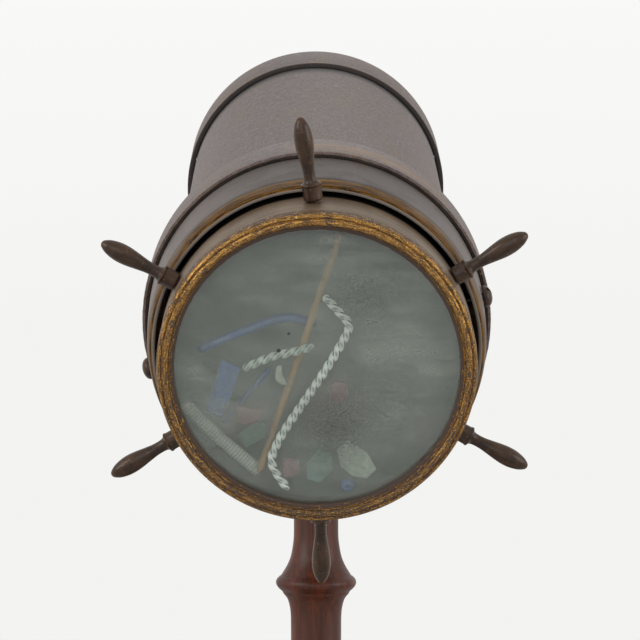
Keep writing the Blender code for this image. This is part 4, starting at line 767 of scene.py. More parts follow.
def plate(outline, start, end, edge, axis="X"):
    """A plate between start and end along its axis, with softened edges."""
    bm = bmesh.new()
    if axis == "X":
        points = [bm.verts.new((start, a, b)) for a, b in outline]
        step = Vector((end - start, 0, 0))
    else:
        points = [bm.verts.new((a, start, b)) for a, b in outline]
        step = Vector((0, end - start, 0))
    face = bm.faces.new(points)
    moved = bmesh.ops.extrude_face_region(bm, geom=[face])["geom"]
    bmesh.ops.translate(bm, vec=step, verts=[v for v in moved if isinstance(v, bmesh.types.BMVert)])
    return softened(bm, edge)


def joined(bm, tools, operation):
    """The mesh with each tool joined on or cut out. The tools are used up."""
    target = as_object(bm)
    for tool in tools:
        change = target.modifiers.new("change", "BOOLEAN")
        change.operation = operation
        change.solver = "EXACT"
        change.object = tool
    bpy.context.view_layer.update()
    result = bmesh.new()
    result.from_object(target, bpy.context.evaluated_depsgraph_get())
    for used in [target, *tools]:
        bpy.data.objects.remove(used, do_unlink=True)
    return result


DRILL_REACH = 20 * MM


def drilled(bm, radius, place):
    """The mesh with a hole drilled through it along the x axis of its place."""
    drill = [(0, -DRILL_REACH), (radius, -DRILL_REACH), (radius, DRILL_REACH), (0, DRILL_REACH)]
    return joined(bm, [as_object(spun(drill, SMALL_SIDES, closed=False), place @ ALONG_X)], "DIFFERENCE")


def arc(centre, radius, start_degrees, end_degrees, steps):
    """Points of an arc, both ends included."""
    span = end_degrees - start_degrees
    angles = [math.radians(start_degrees + span * i / steps) for i in range(steps + 1)]
    return [(centre[0] + radius * math.cos(a), centre[1] + radius * math.sin(a)) for a in angles]


# %% Cup with two ears
CUP_R = 9.3 * MM
CUP_WALL_R = 7.7 * MM
CUP_BOTTOM = 171.0 * MM
CUP_TOP = 188.5 * MM
CUP_FLOOR = 184.5 * MM
CUP_BEAD = 0.7 * MM
EAR_R = 6 * MM
EAR_ROOT = 5.4 * MM
EAR_INNER = 4.0 * MM
EAR_OUTER = 7.6 * MM
BOLT_HOLE_R = 3.2 * MM
EAR_SINK = 10.5 * MM
EAR_EDGE = 0.35 * MM
CUP_EDGE = 0.5 * MM

outside = [(CUP_WALL_R, CUP_BOTTOM), (CUP_R, CUP_BOTTOM), (CUP_R + CUP_BEAD, CUP_BOTTOM + CUP_BEAD),
           (CUP_R, CUP_BOTTOM + 2 * CUP_BEAD), (CUP_R, CUP_TOP), (0, CUP_TOP)]
inside = [(0, CUP_FLOOR), (CUP_WALL_R, CUP_FLOOR), (CUP_WALL_R, CUP_BOTTOM)]
ring = spun(eased(outside, CUP_EDGE, closed=False) + inside, POST_SIDES, closed=False)
ear = [(EAR_ROOT, -EAR_SINK)] + arc((0, 0), EAR_R, 0, 180, 28) + [(-EAR_ROOT, -EAR_SINK)]
ears = [as_object(plate(ear, side * EAR_INNER, side * EAR_OUTER, EAR_EDGE), PIVOT) for side in (-1, 1)]
fork = drilled(joined(ring, ears, "UNION"), BOLT_HOLE_R, PIVOT)
put_in_place("brass_fork", fork, "stand", "pivot_fork", UPRIGHT)

# %% [markdown]
# ## Bolt, washer, thumb nut and screws
# Round heads are domes on a short straight edge with a sawn slot. Each sits on the surface that its
# solid sits on.

# %% Bolt, washer and thumb nut
BOLT_R = 2.9 * MM
BOLT_HEAD_R = 5.2 * MM
BOLT_HEAD = 2.8 * MM
HEAD_SEAT = 7.9 * MM
WASHER_R = 5.6 * MM
WASHER_THICKNESS = 1 * MM
NUT_AT = 9.2 * MM
NUT_R = 5 * MM
NUT_LENGTH = 6.5 * MM
BOLT_END = 17.3 * MM
WING_REACH = 9.5 * MM
WING_HALF = 1 * MM
WING_CURVE = 1.6 * MM
WING_EDGE = 0.45 * MM
HUB_EDGE = 0.5 * MM
WASHER_EDGE = 0.25 * MM
WING_ANGLE = math.radians(20)
BOLT_SLOT_ANGLE = math.radians(65)
SLOT_WIDTH = 0.28        # share of a head's radius
SLOT_DEPTH = 0.45        # share of a head's height


def slotted_head(head_r, height, shank_r, shank_length, slot_angle=0.0):
    """A round-headed screw about z with its seat at z = 0 and a sawn slot."""
    dome = [(head_r * math.cos(a), 0.25 * height + 0.75 * height * math.sin(a))
            for a in (math.radians(90 * i / 9) for i in range(10))]
    dome[-1] = (0, height)
    shank = [(0, -shank_length), (shank_r, -shank_length), (shank_r, 0)]
    head = spun(shank + [(head_r * 0.96, 0), (head_r, 0.08 * height)] + dome, SMALL_SIDES, closed=False)
    half, floor = head_r * SLOT_WIDTH / 2, height * (1 - SLOT_DEPTH)
    saw = [(-half, floor), (half, floor), (half, 2 * height), (-half, 2 * height)]
    cutter = plate(saw, -1.2 * head_r, 1.2 * head_r, 0.02 * head_r)
    return joined(head, [as_object(cutter, Matrix.Rotation(slot_angle, 4, "Z"))], "DIFFERENCE")


bolt_place = PIVOT @ Matrix.Rotation(math.radians(-90), 4, "Y")
bolt = slotted_head(BOLT_HEAD_R, BOLT_HEAD, BOLT_R, HEAD_SEAT + BOLT_END, BOLT_SLOT_ANGLE)
put_in_place("slotted_bolt", bolt, "stand", "pivot_bolt", bolt_place @ Matrix.Translation((0, 0, HEAD_SEAT)))
washer = [(BOLT_HOLE_R, HEAD_SEAT), (WASHER_R, HEAD_SEAT), (WASHER_R, HEAD_SEAT + WASHER_THICKNESS),
          (BOLT_HOLE_R, HEAD_SEAT + WASHER_THICKNESS)]
turned("brass_washer", eased(washer, WASHER_EDGE), SMALL_SIDES, "stand", "pivot_washer", PIVOT @ ALONG_X)
nut_end = NUT_AT + NUT_LENGTH
hub = [(BOLT_HOLE_R, NUT_AT), (NUT_R, NUT_AT), (NUT_R, NUT_AT + NUT_LENGTH / 3), (NUT_R * 0.84, nut_end),
       (BOLT_HOLE_R, nut_end)]
wing = [(NUT_R * 0.7, NUT_AT + 0.8 * MM), (NUT_R * 1.2, NUT_AT + 1.1 * MM),
        (WING_REACH * 0.82, NUT_AT + 1.2 * MM), (WING_REACH, NUT_AT + 2.6 * MM),
        (WING_REACH, NUT_AT + 4.4 * MM), (WING_REACH * 0.84, nut_end - 0.5 * MM),
        (NUT_R * 1.15, nut_end - 1.2 * MM), (NUT_R * 0.7, nut_end - 1.0 * MM)]
wing_outline = eased(wing, WING_CURVE, steps=5)
wings = []
for turn in (0, math.pi):
    leaf = plate(wing_outline, -WING_HALF, WING_HALF, WING_EDGE, "Y")
    wings.append(as_object(leaf, Matrix.Rotation(turn, 4, "Z")))
nut = joined(spun(eased(hub, HUB_EDGE), SMALL_SIDES), wings, "UNION")
put_in_place("winged_nut", nut, "thumb_nut", "thumb_nut",
             PIVOT @ Matrix.Rotation(WING_ANGLE, 4, "X") @ ALONG_X)

# %% Pins of the cup
PIN_HEAD_R = 1.8 * MM
PIN_HEAD = 0.9 * MM
PIN_R = 0.9 * MM
PIN_DEPTH = 4 * MM
PIN_HEIGHT = CUP_BOTTOM + 6.75 * MM
for side, name in enumerate(("right", "left")):
    turn = Matrix.Rotation(side * math.pi, 4, "Z")
    place = Matrix.Translation((0, 0, PIN_HEIGHT)) @ turn @ Matrix.Translation((CUP_R + GAP, 0, 0)) @ ALONG_X
    angles = [math.radians(10 * i) for i in range(1, 9)]
    dome = [(PIN_HEAD_R * math.cos(a), PIN_HEAD * math.sin(a)) for a in angles]
    outline = [(0, -PIN_DEPTH), (PIN_R, -PIN_DEPTH), (PIN_R, 0), (PIN_HEAD_R, 0)] + dome + [(0, PIN_HEAD)]
    turned(f"cup_pin_{name}", outline, SMALL_SIDES, "stand", f"fork_pin_{name}", place, closed=False)

# %% [markdown]
# ## Barrel
# The cloth is glued around the pasteboard tube and laps over itself underneath, so a low step runs
# along the barrel. The band at the eye end is a second, thicker wrap that hides the cloth's cut edge.

# %% Barrel covering with its lap
COVER_R = 47.8 * MM
COVER_INNER_R = 47.2 * MM
COVER_START = 71.4 * MM
COVER_END = 261.1 * MM
LAP_RISE = 0.25 * MM
LAP_ANGLE = math.radians(102)       # under the barrel, a little to one side
LAP_WIDTH = math.radians(9)
BAND_START = 237.8 * MM             # the lap is pressed flat from here on
UNEVEN = 0.10 * MM
UNEVEN_AROUND, UNEVEN_ALONG = 2.2, 30 * MM
COVER_STEPS = 40


def barrel_wobble(angle, r, along):
    """The lap's step, and the slight unevenness of cloth that was glued by hand."""
    if r < COVER_R - 0.1 * MM:
        return r, along
    inside_lap = 0 <= angle - LAP_ANGLE <= LAP_WIDTH and along < BAND_START
    around = (math.cos(angle) * UNEVEN_AROUND, math.sin(angle) * UNEVEN_AROUND)
    uneven = noise.noise((*around, along / UNEVEN_ALONG)) * UNEVEN
    return r + uneven + (LAP_RISE if inside_lap else -0.05 * MM), along


cover_length = COVER_END - COVER_START
long_wall = [(COVER_R, COVER_START + cover_length * i / COVER_STEPS) for i in range(COVER_STEPS + 1)]
outline = long_wall + [(COVER_INNER_R, COVER_END), (COVER_INNER_R, COVER_START)]
turned("covered_barrel", outline, RING_SIDES, "barrel", "barrel_cover", wobble=barrel_wobble)

# %% End band, end disc and eyepiece
BARREL_LENGTH = 264 * MM
BAND_INNER_R = 47.9 * MM
BAND_R = 49.9 * MM
PLUG_R = 45.1 * MM
PLUG_AT = 252.4 * MM
FLANGE_AT = 261.4 * MM
DISC_HOLE_R = 9.3 * MM
BAND_EDGE = 0.7 * MM
DISC_EDGE = 0.35 * MM
DISC_RINGS = (43.4 * MM, 23.4 * MM)      # fine grooves turned into the disc
DISC_RING_SIZE = 0.6 * MM

band = [(BAND_INNER_R, BAND_START), (BAND_R, BAND_START), (BAND_R, BARREL_LENGTH),
        (BAND_INNER_R, BARREL_LENGTH)]
turned("end_band", eased(band, BAND_EDGE, steps=4), RING_SIDES, "barrel", "rear_band")
disc = [(DISC_HOLE_R, PLUG_AT), (PLUG_R, PLUG_AT), (PLUG_R, FLANGE_AT), (COVER_R, FLANGE_AT),
        (COVER_R, BARREL_LENGTH)]
for r in DISC_RINGS:
    disc += [(r + DISC_RING_SIZE, BARREL_LENGTH), (r, BARREL_LENGTH - DISC_RING_SIZE),
             (r - DISC_RING_SIZE, BARREL_LENGTH)]
disc.append((DISC_HOLE_R, BARREL_LENGTH))
turned("turned_end_disc", eased(disc, DISC_EDGE), RING_SIDES, "barrel", "end_disc")

EYEPIECE_R = 15 * MM
EYEPIECE_EDGE = 0.5 * MM
EYEPIECE_BARREL_R = 9 * MM
EYE_SEAT = 264.3 * MM
EYE_BACK = 266.7 * MM
EYE_FRONT = 256.7 * MM
EYE_POCKET_R = 7.5 * MM
EYE_BORE_R = 4.5 * MM
DISH_R = 10.5 * MM
POCKET_END = 261.5 * MM
BORE_END = 261.8 * MM
eyepiece = [(EYE_POCKET_R, EYE_FRONT), (EYEPIECE_BARREL_R, EYE_FRONT), (EYEPIECE_BARREL_R, EYE_SEAT),
            (EYEPIECE_R, EYE_SEAT), (EYEPIECE_R, EYE_SEAT + 0.8 * MM), (EYEPIECE_R - 1.2 * MM, EYE_BACK),
            (DISH_R, EYE_BACK), (8.2 * MM, EYE_BACK - 1.5 * MM), (6.2 * MM, EYE_BACK - 3.4 * MM),
            (EYE_BORE_R, BORE_END), (EYE_BORE_R, POCKET_END), (EYE_POCKET_R, POCKET_END)]
turned("dished_eyepiece", eased(eyepiece, EYEPIECE_EDGE), POST_SIDES, "barrel", "eyepiece_ring")

# %% [markdown]
# ## Shoulder and collar
# Behind the collar the tube is built up with a pasteboard sleeve and covered with cloth. Its front edge
# was never turned in, so the raw plies show as a dark ragged line. The collar is spun thin and its front
# is rolled over, which stiffens it and gives the pale line next to the dark gap.

# %% Shoulder
SHOULDER_START = 50.6 * MM
SHOULDER_END = 71.1 * MM
SLEEVE_INNER_R = 54.2 * MM
SLEEVE_OUTER_R = 55.0 * MM
SHOULDER_R = 55.9 * MM
CLOTH = 0.6 * MM
SLEEVE_END = 70.2 * MM
TURNED_IN_R = 48.1 * MM
FRAY = 0.35 * MM
RAW_END = SHOULDER_START + 1 * MM      # the raw edges wander up to here
WANDER_AROUND, FLUTTER_AROUND, WANDER_STEP = 9, 38, 2 * MM


def frayed(angle, r, along):
    """A cut edge of board or cloth wanders along the barrel and bulges a little."""
    if along > RAW_END - 0.1 * MM:
        return r, along
    across, up = math.cos(angle), math.sin(angle)
    wander = noise.noise((across * WANDER_AROUND, up * WANDER_AROUND, r / WANDER_STEP))
    flutter = noise.noise((across * FLUTTER_AROUND, up * FLUTTER_AROUND, 3.0))
    return r + flutter * FRAY * 0.3, along + (wander * 0.7 + flutter * 0.4) * FRAY


sleeve = [(SLEEVE_OUTER_R, SHOULDER_START), (SLEEVE_OUTER_R, RAW_END), (SLEEVE_OUTER_R, SLEEVE_END),
          (SLEEVE_INNER_R, SLEEVE_END), (SLEEVE_INNER_R, RAW_END), (SLEEVE_INNER_R, SHOULDER_START)]
turned("raw_edged_sleeve", sleeve, 2 * RING_SIDES, "barrel", "shoulder_sleeve", wobble=frayed)
inner_r = SLEEVE_OUTER_R + 0.05 * MM      # glued tight, so only the board shows as a dark line
crown = [(SHOULDER_R, RAW_END), (SHOULDER_R, SHOULDER_END - 1.5 * MM),
         (SHOULDER_R - 0.2 * MM, SHOULDER_END - 0.8 * MM),
         (SHOULDER_R - 0.8 * MM, SHOULDER_END - 0.15 * MM), (SHOULDER_R - 1.6 * MM, SHOULDER_END)]
back = SHOULDER_END - CLOTH
cloth = [(inner_r, SHOULDER_START), (SHOULDER_R - 0.15 * MM, SHOULDER_START),
         (SHOULDER_R, SHOULDER_START + 0.2 * MM)]
cloth += crown + [(TURNED_IN_R, SHOULDER_END), (TURNED_IN_R, back), (inner_r, back), (inner_r, RAW_END)]
turned("covered_shoulder", cloth, 2 * RING_SIDES, "barrel", "shoulder_cover", wobble=frayed)

# %% Collar with its rolled lip
MOUTH_R = 50.1 * MM
LIP_R = 0.9 * MM
COLLAR_FRONT = 20 * MM
WALL_R = 53 * MM
WALL_START = 27.5 * MM
COLLAR_REAR_R = 53.9 * MM
COLLAR_WALL = 0.8 * MM
COLLAR_END = 65.6 * MM

lip_centre = (MOUTH_R + LIP_R, COLLAR_FRONT + LIP_R)
lip = arc(lip_centre, LIP_R, 120, 345, 20)
wall = flowing([(52.05 * MM, 21.3 * MM), (52.45 * MM, 23.5 * MM), (52.8 * MM, 25.8 * MM),
                (53.05 * MM, 28.3 * MM), (53.4 * MM, 36 * MM), (COLLAR_REAR_R, SHOULDER_START - 0.5 * MM)])
rear_inner_r = COLLAR_REAR_R - COLLAR_WALL
outline = lip[:-2] + wall + [(COLLAR_REAR_R, COLLAR_END), (rear_inner_r, COLLAR_END),
                             (rear_inner_r, SHOULDER_START), (WALL_R - COLLAR_WALL, WALL_START)]
turned("spun_collar", outline, RING_SIDES, "barrel", "collar")

# %% Round heads on the collar
SCREW_ANGLE = math.radians(12.6)
SCREW_AT = 39 * MM
SCREW_SEAT = 53.75 * MM
SCREW_HEAD_R = 3.5 * MM
SCREW_HEAD = 2.9 * MM
SCREW_SHANK_R = 1.3 * MM
SCREW_LENGTH = 6.4 * MM
SCREW_SLOT_ANGLE = 0.5


def stud_place(angle, radius, along):
    """A place on the barrel's wall, with its z axis outwards."""
    return BARREL @ Matrix.Rotation(-angle, 4, "Y") @ Matrix.Translation((radius, along, 0)) @ ALONG_X


for number, name in enumerate(("right", "left")):
    place = stud_place(SCREW_ANGLE + number * math.pi, SCREW_SEAT, SCREW_AT)
    head = slotted_head(SCREW_HEAD_R, SCREW_HEAD, SCREW_SHANK_R, SCREW_LENGTH, SCREW_SLOT_ANGLE)
    put_in_place(f"round_head_{name}", head, "barrel", f"retaining_screw_{name}", place)

# %% [markdown]
# ## Saddle
# A brass plate bent to the barrel takes the load. Four round-headed screws go into the tube, and the
# lug under it stands between the fork's ears.

# %% Saddle plate and its screws
SADDLE_R = 48.1 * MM
SADDLE_OUTER_R = 49.9 * MM
SADDLE_LENGTH = 48 * MM
SADDLE_HALF_ANGLE = math.radians(18)
DOWN = math.radians(270)
LUG_R = 6.2 * MM
LUG_HALF = 3.7 * MM
LUG_FLARE = 11 * MM
# Shares of half the plate's length and of its half angle
PLATE_SHARES = ((-1, 0.40), (-0.97, 0.58), (-0.90, 0.76), (-0.75, 0.93), (-0.55, 0.985), (0, 1),
                (0.55, 0.985), (0.75, 0.93), (0.90, 0.76), (0.97, 0.58), (1, 0.40))
ACROSS = 24
SADDLE_EDGE = 0.3 * MM


def lofted(bm, loops):
    """The mesh with faces from each loop of points to the next, and with both ends closed."""
    for near, far in zip(loops, loops[1:]):
        for i in range(len(near)):
            j = (i + 1) % len(near)
            bm.faces.new((near[i], near[j], far[j], far[i]))
    bm.faces.new(loops[0])
    bm.faces.new(loops[-1])
    return bm


bm = bmesh.new()
loops = []
for length_share, width_share in flowing(PLATE_SHARES, 3):
    along = PIVOT_BEHIND_GLASS + length_share * SADDLE_LENGTH / 2
    half = SADDLE_HALF_ANGLE * width_share
    angles = [DOWN - half + 2 * half * i / ACROSS for i in range(ACROSS + 1)]
    loop = [bm.verts.new((r * math.cos(a), along, r * math.sin(a)))
            for r, row in ((SADDLE_R, angles), (SADDLE_OUTER_R, angles[::-1])) for a in row]
    loops.append(loop)
bent = softened(lofted(bm, loops), SADDLE_EDGE)
root = AXIS_ABOVE_PIVOT - (SADDLE_R + SADDLE_OUTER_R) / 2
throat = flowing([(LUG_FLARE, root), (8.4 * MM, root - 1.6 * MM), (6.6 * MM, root - 4.6 * MM),
                  (LUG_R, 1.6 * MM)])
lug = throat + arc((0, 0), LUG_R, 12, -192, 40) + [(-a, b) for a, b in reversed(throat)]
lug_place = Matrix.Translation((0, PIVOT_BEHIND_GLASS, -AXIS_ABOVE_PIVOT))
saddle = joined(bent, [as_object(plate(lug, -LUG_HALF, LUG_HALF, SADDLE_EDGE), lug_place)], "UNION")
put_in_place("bent_saddle", drilled(saddle, BOLT_HOLE_R, lug_place), "barrel", "saddle_plate", BARREL)

SADDLE_SCREW_SEAT = 50.2 * MM
SADDLE_SCREW_ANGLE = math.radians(9.5)
SADDLE_SCREW_STEP = 17 * MM
SADDLE_SCREW = (2.5 * MM, 1.3 * MM, 1.1 * MM, 4.4 * MM)      # radius and height of head, then of shank
SADDLE_SLOT_TURN = 0.8
corners = [(step, side) for step in (-1, 1) for side in (-1, 1)]
for number, (step, side) in enumerate(corners, 1):
    angle, along = DOWN + side * SADDLE_SCREW_ANGLE, PIVOT_BEHIND_GLASS + step * SADDLE_SCREW_STEP
    head = slotted_head(*SADDLE_SCREW, slot_angle=number * SADDLE_SLOT_TURN)
    put_in_place(f"saddle_round_head_{number}", head, "barrel", f"saddle_screw_{number}",
                 stud_place(angle, SADDLE_SCREW_SEAT, along))

# %% [markdown]
# ## Object wheel
# The drum is the wall behind the gilt ring. The ring is a turned moulding: a lip by the glass, browned
# with painted shade, a fine bead, the main round and an outer bead. The handles are turned with a
# ferrule at the root.

# %% Drum
DRUM_R = 48.5 * MM
DRUM_INNER_R = 47.6 * MM
DRUM_FRONT = 3.2 * MM
DRUM_REAR = 46 * MM
GROOVE_AT = 39 * MM
GROOVE_R = 46.9 * MM
GROOVE_INNER_R = 46.0 * MM
GROOVE_HALF = 1.8 * MM
GROOVE_SLOPE = 1.8 * MM
DRUM_EDGE = 0.6 * MM
slope = GROOVE_HALF + GROOVE_SLOPE
drum = [(DRUM_R, DRUM_FRONT), (DRUM_R, GROOVE_AT - slope), (GROOVE_R, GROOVE_AT - GROOVE_HALF),
        (GROOVE_R, GROOVE_AT + GROOVE_HALF), (DRUM_R, GROOVE_AT + slope), (DRUM_R, DRUM_REAR),
        (DRUM_INNER_R, DRUM_REAR), (DRUM_INNER_R, GROOVE_AT + slope),
        (GROOVE_INNER_R, GROOVE_AT + GROOVE_HALF), (GROOVE_INNER_R, GROOVE_AT - GROOVE_HALF),
        (DRUM_INNER_R, GROOVE_AT - slope), (DRUM_INNER_R, DRUM_FRONT)]
turned("swaged_drum", eased(drum, DRUM_EDGE), RING_SIDES, "object_wheel", "wheel_drum")

# %% Gilt ring
BEZEL_R = 48.6 * MM
BEZEL_RISE = 2.6 * MM
BEZEL_BACK = 2.9 * MM
SPIGOT_R = 47.3 * MM
SEAT_R = 46.7 * MM
LIP_BACK = 0.4 * MM
SPIGOT_END = 6.9 * MM
FLANGE_EDGE = 0.4 * MM
# Shares of the moulding's width and of its rise, from the glass outwards
LIP_SHARES = ((0.0, 0.04), (0.012, 0.22), (0.05, 0.31), (0.13, 0.34), (0.20, 0.40))
SMALL_BEAD_SHARES = ((0.205, 0.56), (0.235, 0.72), (0.27, 0.75), (0.30, 0.68))
ROUND_SHARES = ((0.305, 0.74), (0.345, 0.90), (0.42, 0.985), (0.50, 1.0), (0.58, 0.975), (0.66, 0.88),
                (0.705, 0.74))
OUTER_BEAD_SHARES = ((0.72, 0.70), (0.75, 0.75), (0.82, 0.76), (0.89, 0.68), (0.95, 0.50), (0.99, 0.22),
                     (1.0, -0.15))
face = []
for shares in (LIP_SHARES, SMALL_BEAD_SHARES, ROUND_SHARES, OUTER_BEAD_SHARES):
    face += flowing([(SIGHT_R + (BEZEL_R - SIGHT_R) * w, -BEZEL_RISE * h) for w, h in shares])
flange = [(BEZEL_R, BEZEL_BACK / 2), (BEZEL_R, BEZEL_BACK), (SPIGOT_R, BEZEL_BACK)]
outline = [(SIGHT_R, LIP_BACK)] + face + eased(flange, FLANGE_EDGE, closed=False)
outline += [(SPIGOT_R, SPIGOT_END), (SEAT_R, SPIGOT_END), (SEAT_R, LIP_BACK)]
turned("gilt_ring", outline, 2 * RING_SIDES, "object_wheel", "front_bezel")

# %% Handles
HANDLE_AT = 13 * MM
HANDLE_R = 3 * MM
HANDLE_LENGTH = 25.8 * MM
HANDLE_PHASE = math.radians(31.2)
HANDLE_LEAN = math.radians(8)
TENON = 1.1 * MM
HANDLE_TENON_R = 1.2 * MM
HANDLE_SIDES = 56
ASKEW = 2        # the handle that leans
# Shares of a handle's radius and length: the ferrule, its rim, then the neck and the swelling
FERRULE_SHARES = ((0.86, 0.0), (0.96, 0.012), (0.985, 0.03), (0.97, 0.10), (0.98, 0.172))
RIM_SHARES = ((1.02, 0.180), (1.04, 0.190), (1.02, 0.200), (0.93, 0.206))
BODY_SHARES = ((0.74, 0.222), (0.64, 0.25), (0.60, 0.30), (0.62, 0.38), (0.74, 0.48), (0.90, 0.60),
               (0.98, 0.70), (0.94, 0.80), (0.74, 0.90), (0.48, 0.96), (0.26, 0.99), (0.0, 1.0))
outline = [(0, -TENON), (HANDLE_TENON_R, -TENON), (HANDLE_TENON_R, 0)]
for shares in (FERRULE_SHARES, RIM_SHARES, BODY_SHARES):
    outline += flowing(shares_of(shares, HANDLE_R, HANDLE_LENGTH))
for number in range(1, 7):
    angle = HANDLE_PHASE + (number - 1) * FULL_TURN / 6
    lean = HANDLE_LEAN if number == ASKEW else 0
    seat = DRUM_R + GAP + HANDLE_R * math.sin(lean)
    place = (BARREL @ Matrix.Translation((seat * math.cos(angle), HANDLE_AT, seat * math.sin(angle)))
             @ Matrix.Rotation(-angle - lean, 4, "Y") @ ALONG_X)
    turned(f"turned_handle_{number}", outline, HANDLE_SIDES, "object_wheel", f"handle_{number}", place,
           closed=False)

# %% [markdown]
# ## Front glass
# A disc with a ground edge sits behind the ring's lip.

# %% Front glass
FRONT_GLASS_R = 46.3 * MM
GLASS_FACE = 0.7 * MM
GLASS_EDGE = 0.25 * MM
disc = [(0, GLASS_FACE), (FRONT_GLASS_R, GLASS_FACE), (FRONT_GLASS_R, INNER_FACE), (0, INNER_FACE)]
turned("dusty_glass", eased(disc, GLASS_EDGE, closed=False), RING_SIDES, "object_wheel", "front_glass",
       closed=False)

# %% [markdown]
# ## Loose pieces
# The pattern in the mirrors comes from lamp-worked cane and broken coloured glass. The long piece is two
# threads of clear glass that were twisted together while hot, so its outline bulges twice in every turn
# of 6.6 mm. Its colour has a painted highlight where the threads cross in front, so painted shade darkens a
# groove only at its ends.
# Chips are cut from sheet and keep softened edges.

# %% Twisted, ribbed and plain cane
CELL_FRONT = 3.2 * MM
TWISTED_R = 1.4 * MM
STRAIGHT_R = 1.1 * MM
RIBBED_R = 1.3 * MM
THIN_R = 0.8 * MM
TWIST_LENGTH = 6.6 * MM
CHIP_THICKNESS = 1.1 * MM
CHIP_LAYER = CHIP_THICKNESS + GAP
CANE_SIDES = 20


def even_path(points, step):
    """Points at equal steps on a smooth curve through the given ones."""
    fine = [Vector(p) for p in flowing(points, 24)]
    length = sum((q - p).length for p, q in zip(fine, fine[1:]))
    count = max(2, round(length / step))
    made, travelled, wanted = [fine[0]], 0, 1
    for p, q in zip(fine, fine[1:]):
        span = (q - p).length
        while wanted < count and travelled + span >= length * wanted / count:
            made.append(p.lerp(q, (length * wanted / count - travelled) / span))
            wanted += 1
        travelled += span
    return made + [fine[-1]]


def two_threads(angle):
    """Outline of two round threads side by side, as a share of the cane's radius."""
    return 0.52 + 0.48 * abs(math.cos(angle)) ** 1.2


def round_cane(angle):
    return 1.0


def flat_cane(angle):
    """Outline of a flattened cane, 1.6 times as wide as it is deep in relation to a round one."""
    return 1.36 / math.hypot(0.85 * math.cos(angle), 1.6 * math.sin(angle))


def drawn_cane(name, node, shares, depth, radius, section=round_cane, twist=0.0, step=0.45 * MM, rib=0.0,
               rib_step=1.0):
    """Cane bent in a plane behind the front glass, with rounded ends."""
    path = even_path([(x * SIGHT_R, z * SIGHT_R) for x, z in shares], step)
    bm = bmesh.new()
    crest = bm.verts.layers.float.new("crest")
    loops = []
    last = len(path) - 1
    for i, point in enumerate(path):
        ahead = path[min(i + 1, last)] - path[max(i - 1, 0)]
        side = Vector((-ahead.y, ahead.x)).normalized()
        from_end = min(i, last - i) * step / radius
        size = radius * math.sqrt(max(0.06, 1 - max(0.0, 1 - from_end) ** 2))
        wave = math.sin(FULL_TURN * i * step / rib_step)
        size *= 1 + rib * wave
        turn = FULL_TURN * i * step / twist if twist else 0.0
        loop = []
        for k in range(CANE_SIDES):
            angle = FULL_TURN * k / CANE_SIDES
            reach = size * section(angle)
            across, deep = reach * math.cos(angle + turn), reach * math.sin(angle + turn)
            vertex = bm.verts.new((point.x + side.x * across, CELL_FRONT + depth + deep,
                                   point.y + side.y * across))
            # Painted highlight: the crest share rises where the twisted threads cross in front
            crossing_highlight = 0.25 * (1 - abs(math.cos(angle + turn)))
            vertex[crest] = section(angle) + crossing_highlight if twist else 0.75 + 0.2 * wave
            loop.append(vertex)
        loops.append(loop)
    put_in_place(name, lofted(bm, loops), "object_wheel", node, BARREL)


LONG_SHARES = ((0.046, 0.499), (0.152, 0.383), (0.222, 0.282), (0.173, 0.159), (0.060, -0.037),
               (-0.065, -0.231), (-0.189, -0.418), (-0.282, -0.584), (-0.316, -0.730), (-0.203, -0.924))
AMBER_SHARES = ((0.165, 0.93), (-0.406, -0.808))
THIN_BLUE_SHARES = ((-0.330, -0.045), (-0.658, -0.441))
SHORT_SHARES = ((-0.517, -0.030), (-0.316, 0.058), (-0.155, 0.095), (-0.020, 0.140))
BLUE_BEND_SHARES = ((-0.824, 0.070), (-0.52, 0.20), (-0.219, 0.300), (0.0, 0.25))
RIBBED_SHARES = ((-0.93, -0.31), (-0.75, -0.51), (-0.55, -0.69), (-0.39, -0.83))
second = 2 * TWISTED_R + GAP + STRAIGHT_R
third = second + STRAIGHT_R + GAP + RIBBED_R
drawn_cane("long_twist", "twisted_rod_long", LONG_SHARES, TWISTED_R, TWISTED_R, two_threads, TWIST_LENGTH)
drawn_cane("short_twist", "twisted_rod_short", SHORT_SHARES, TWISTED_R, TWISTED_R, two_threads, TWIST_LENGTH)
drawn_cane("amber_cane", "amber_rod", AMBER_SHARES, second, STRAIGHT_R)
drawn_cane("thin_blue_cane", "blue_rod", THIN_BLUE_SHARES, 2 * CHIP_LAYER + THIN_R, THIN_R)
drawn_cane("bent_blue_cane", "blue_bent_rod", BLUE_BEND_SHARES, third, RIBBED_R)
drawn_cane("ribbed_cane", "ribbed_rod", RIBBED_SHARES, third, RIBBED_R, flat_cane, step=0.25 * MM, rib=0.05,
           rib_step=1.0 * MM)

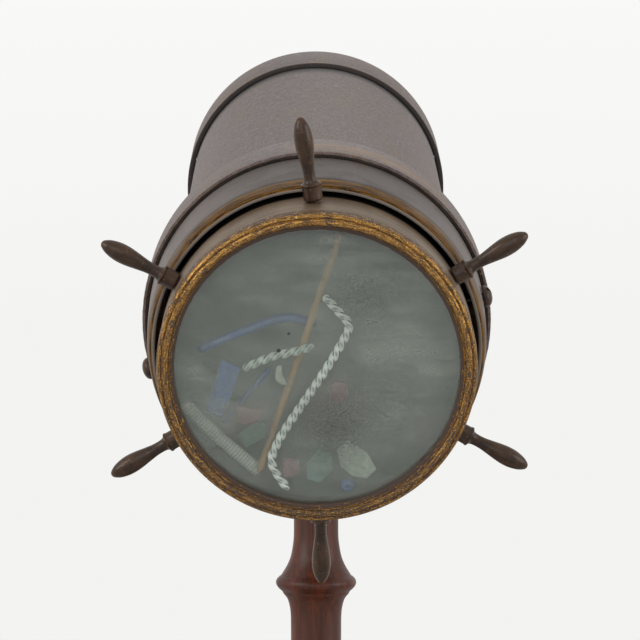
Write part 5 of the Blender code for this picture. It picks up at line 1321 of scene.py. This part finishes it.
# %% Chips and the bead
# Each chip's node, the layer it lies in and its corners
CHIPS = (
    ("blue_chip", 0, ((-0.665, 0.045), (-0.71, -0.12), (-0.785, -0.335), (-0.665, -0.385), (-0.58, -0.15),
                      (-0.54, -0.015))),
    ("white_chip", 0, ((-0.28, -0.002), (-0.29, -0.05), (-0.292, -0.10), (-0.255, -0.135), (-0.205, -0.137),
                       (-0.23, -0.09), (-0.248, -0.045), (-0.245, 0.0))),
    ("green_chip", 0, ((-0.56, -0.50), (-0.50, -0.60), (-0.36, -0.52), (-0.37, -0.41), (-0.45, -0.42))),
    ("red_chip", 1, ((-0.57, -0.30), (-0.55, -0.42), (-0.42, -0.46), (-0.38, -0.33))),
    ("pink_chip", 0, ((0.12, -0.12), (0.09, -0.18), (0.10, -0.25), (0.17, -0.27), (0.22, -0.20),
                      (0.20, -0.13))),
    ("rose_chip", 0, ((-0.24, -0.68), (-0.24, -0.82), (-0.12, -0.80), (-0.13, -0.69))),
    ("teal_chip", 0, ((0.01, -0.62), (-0.07, -0.72), (-0.07, -0.83), (0.02, -0.86), (0.11, -0.77),
                      (0.10, -0.65))),
    ("pale_chip", 0, ((0.22, -0.55), (0.14, -0.62), (0.17, -0.74), (0.25, -0.81), (0.35, -0.83),
                      (0.42, -0.76), (0.35, -0.64))),
)
CHIP_EDGE = 0.22 * MM
for node, layer, corners in CHIPS:
    start = CELL_FRONT + layer * CHIP_LAYER
    corners = [(x * SIGHT_R, z * SIGHT_R) for x, z in corners]
    chip = plate(corners, start, start + CHIP_THICKNESS, CHIP_EDGE, "Y")
    put_in_place("cut_" + node, chip, "object_wheel", node, BARREL)

BEAD_R_SMALL = 1.6 * MM
BEAD_HOLE_R = 0.5 * MM
BEAD_ACROSS, BEAD_UP = 0.215, -0.889      # shares of the sight radius
bead = arc((BEAD_HOLE_R, 0), BEAD_R_SMALL, -80, 80, 20)
bead += [(BEAD_HOLE_R, BEAD_R_SMALL), (BEAD_HOLE_R, -BEAD_R_SMALL)]
bead_place = Matrix.Translation((BEAD_ACROSS * SIGHT_R, -BEAD_UP * SIGHT_R, CELL_FRONT + BEAD_R_SMALL))
turned("wound_bead", bead, SMALL_SIDES, "object_wheel", "blue_bead", ON_BARREL @ bead_place)

# %% [markdown]
# ## Solids that stay
# What is left of the frame keeps its shape: the tube, the rings inside the wheel, the mirrors and their
# supports. Each takes the finish of its slot.

# %% Finish the remaining solids
kept = [name for name, obj in frame["nodes"].items() if not obj.hide_render]
for name in kept:
    solid = frame["nodes"][name].data
    solid.materials.clear()
    solid.materials.append(finish_of(name))
print("solids that stay:", sorted(kept))
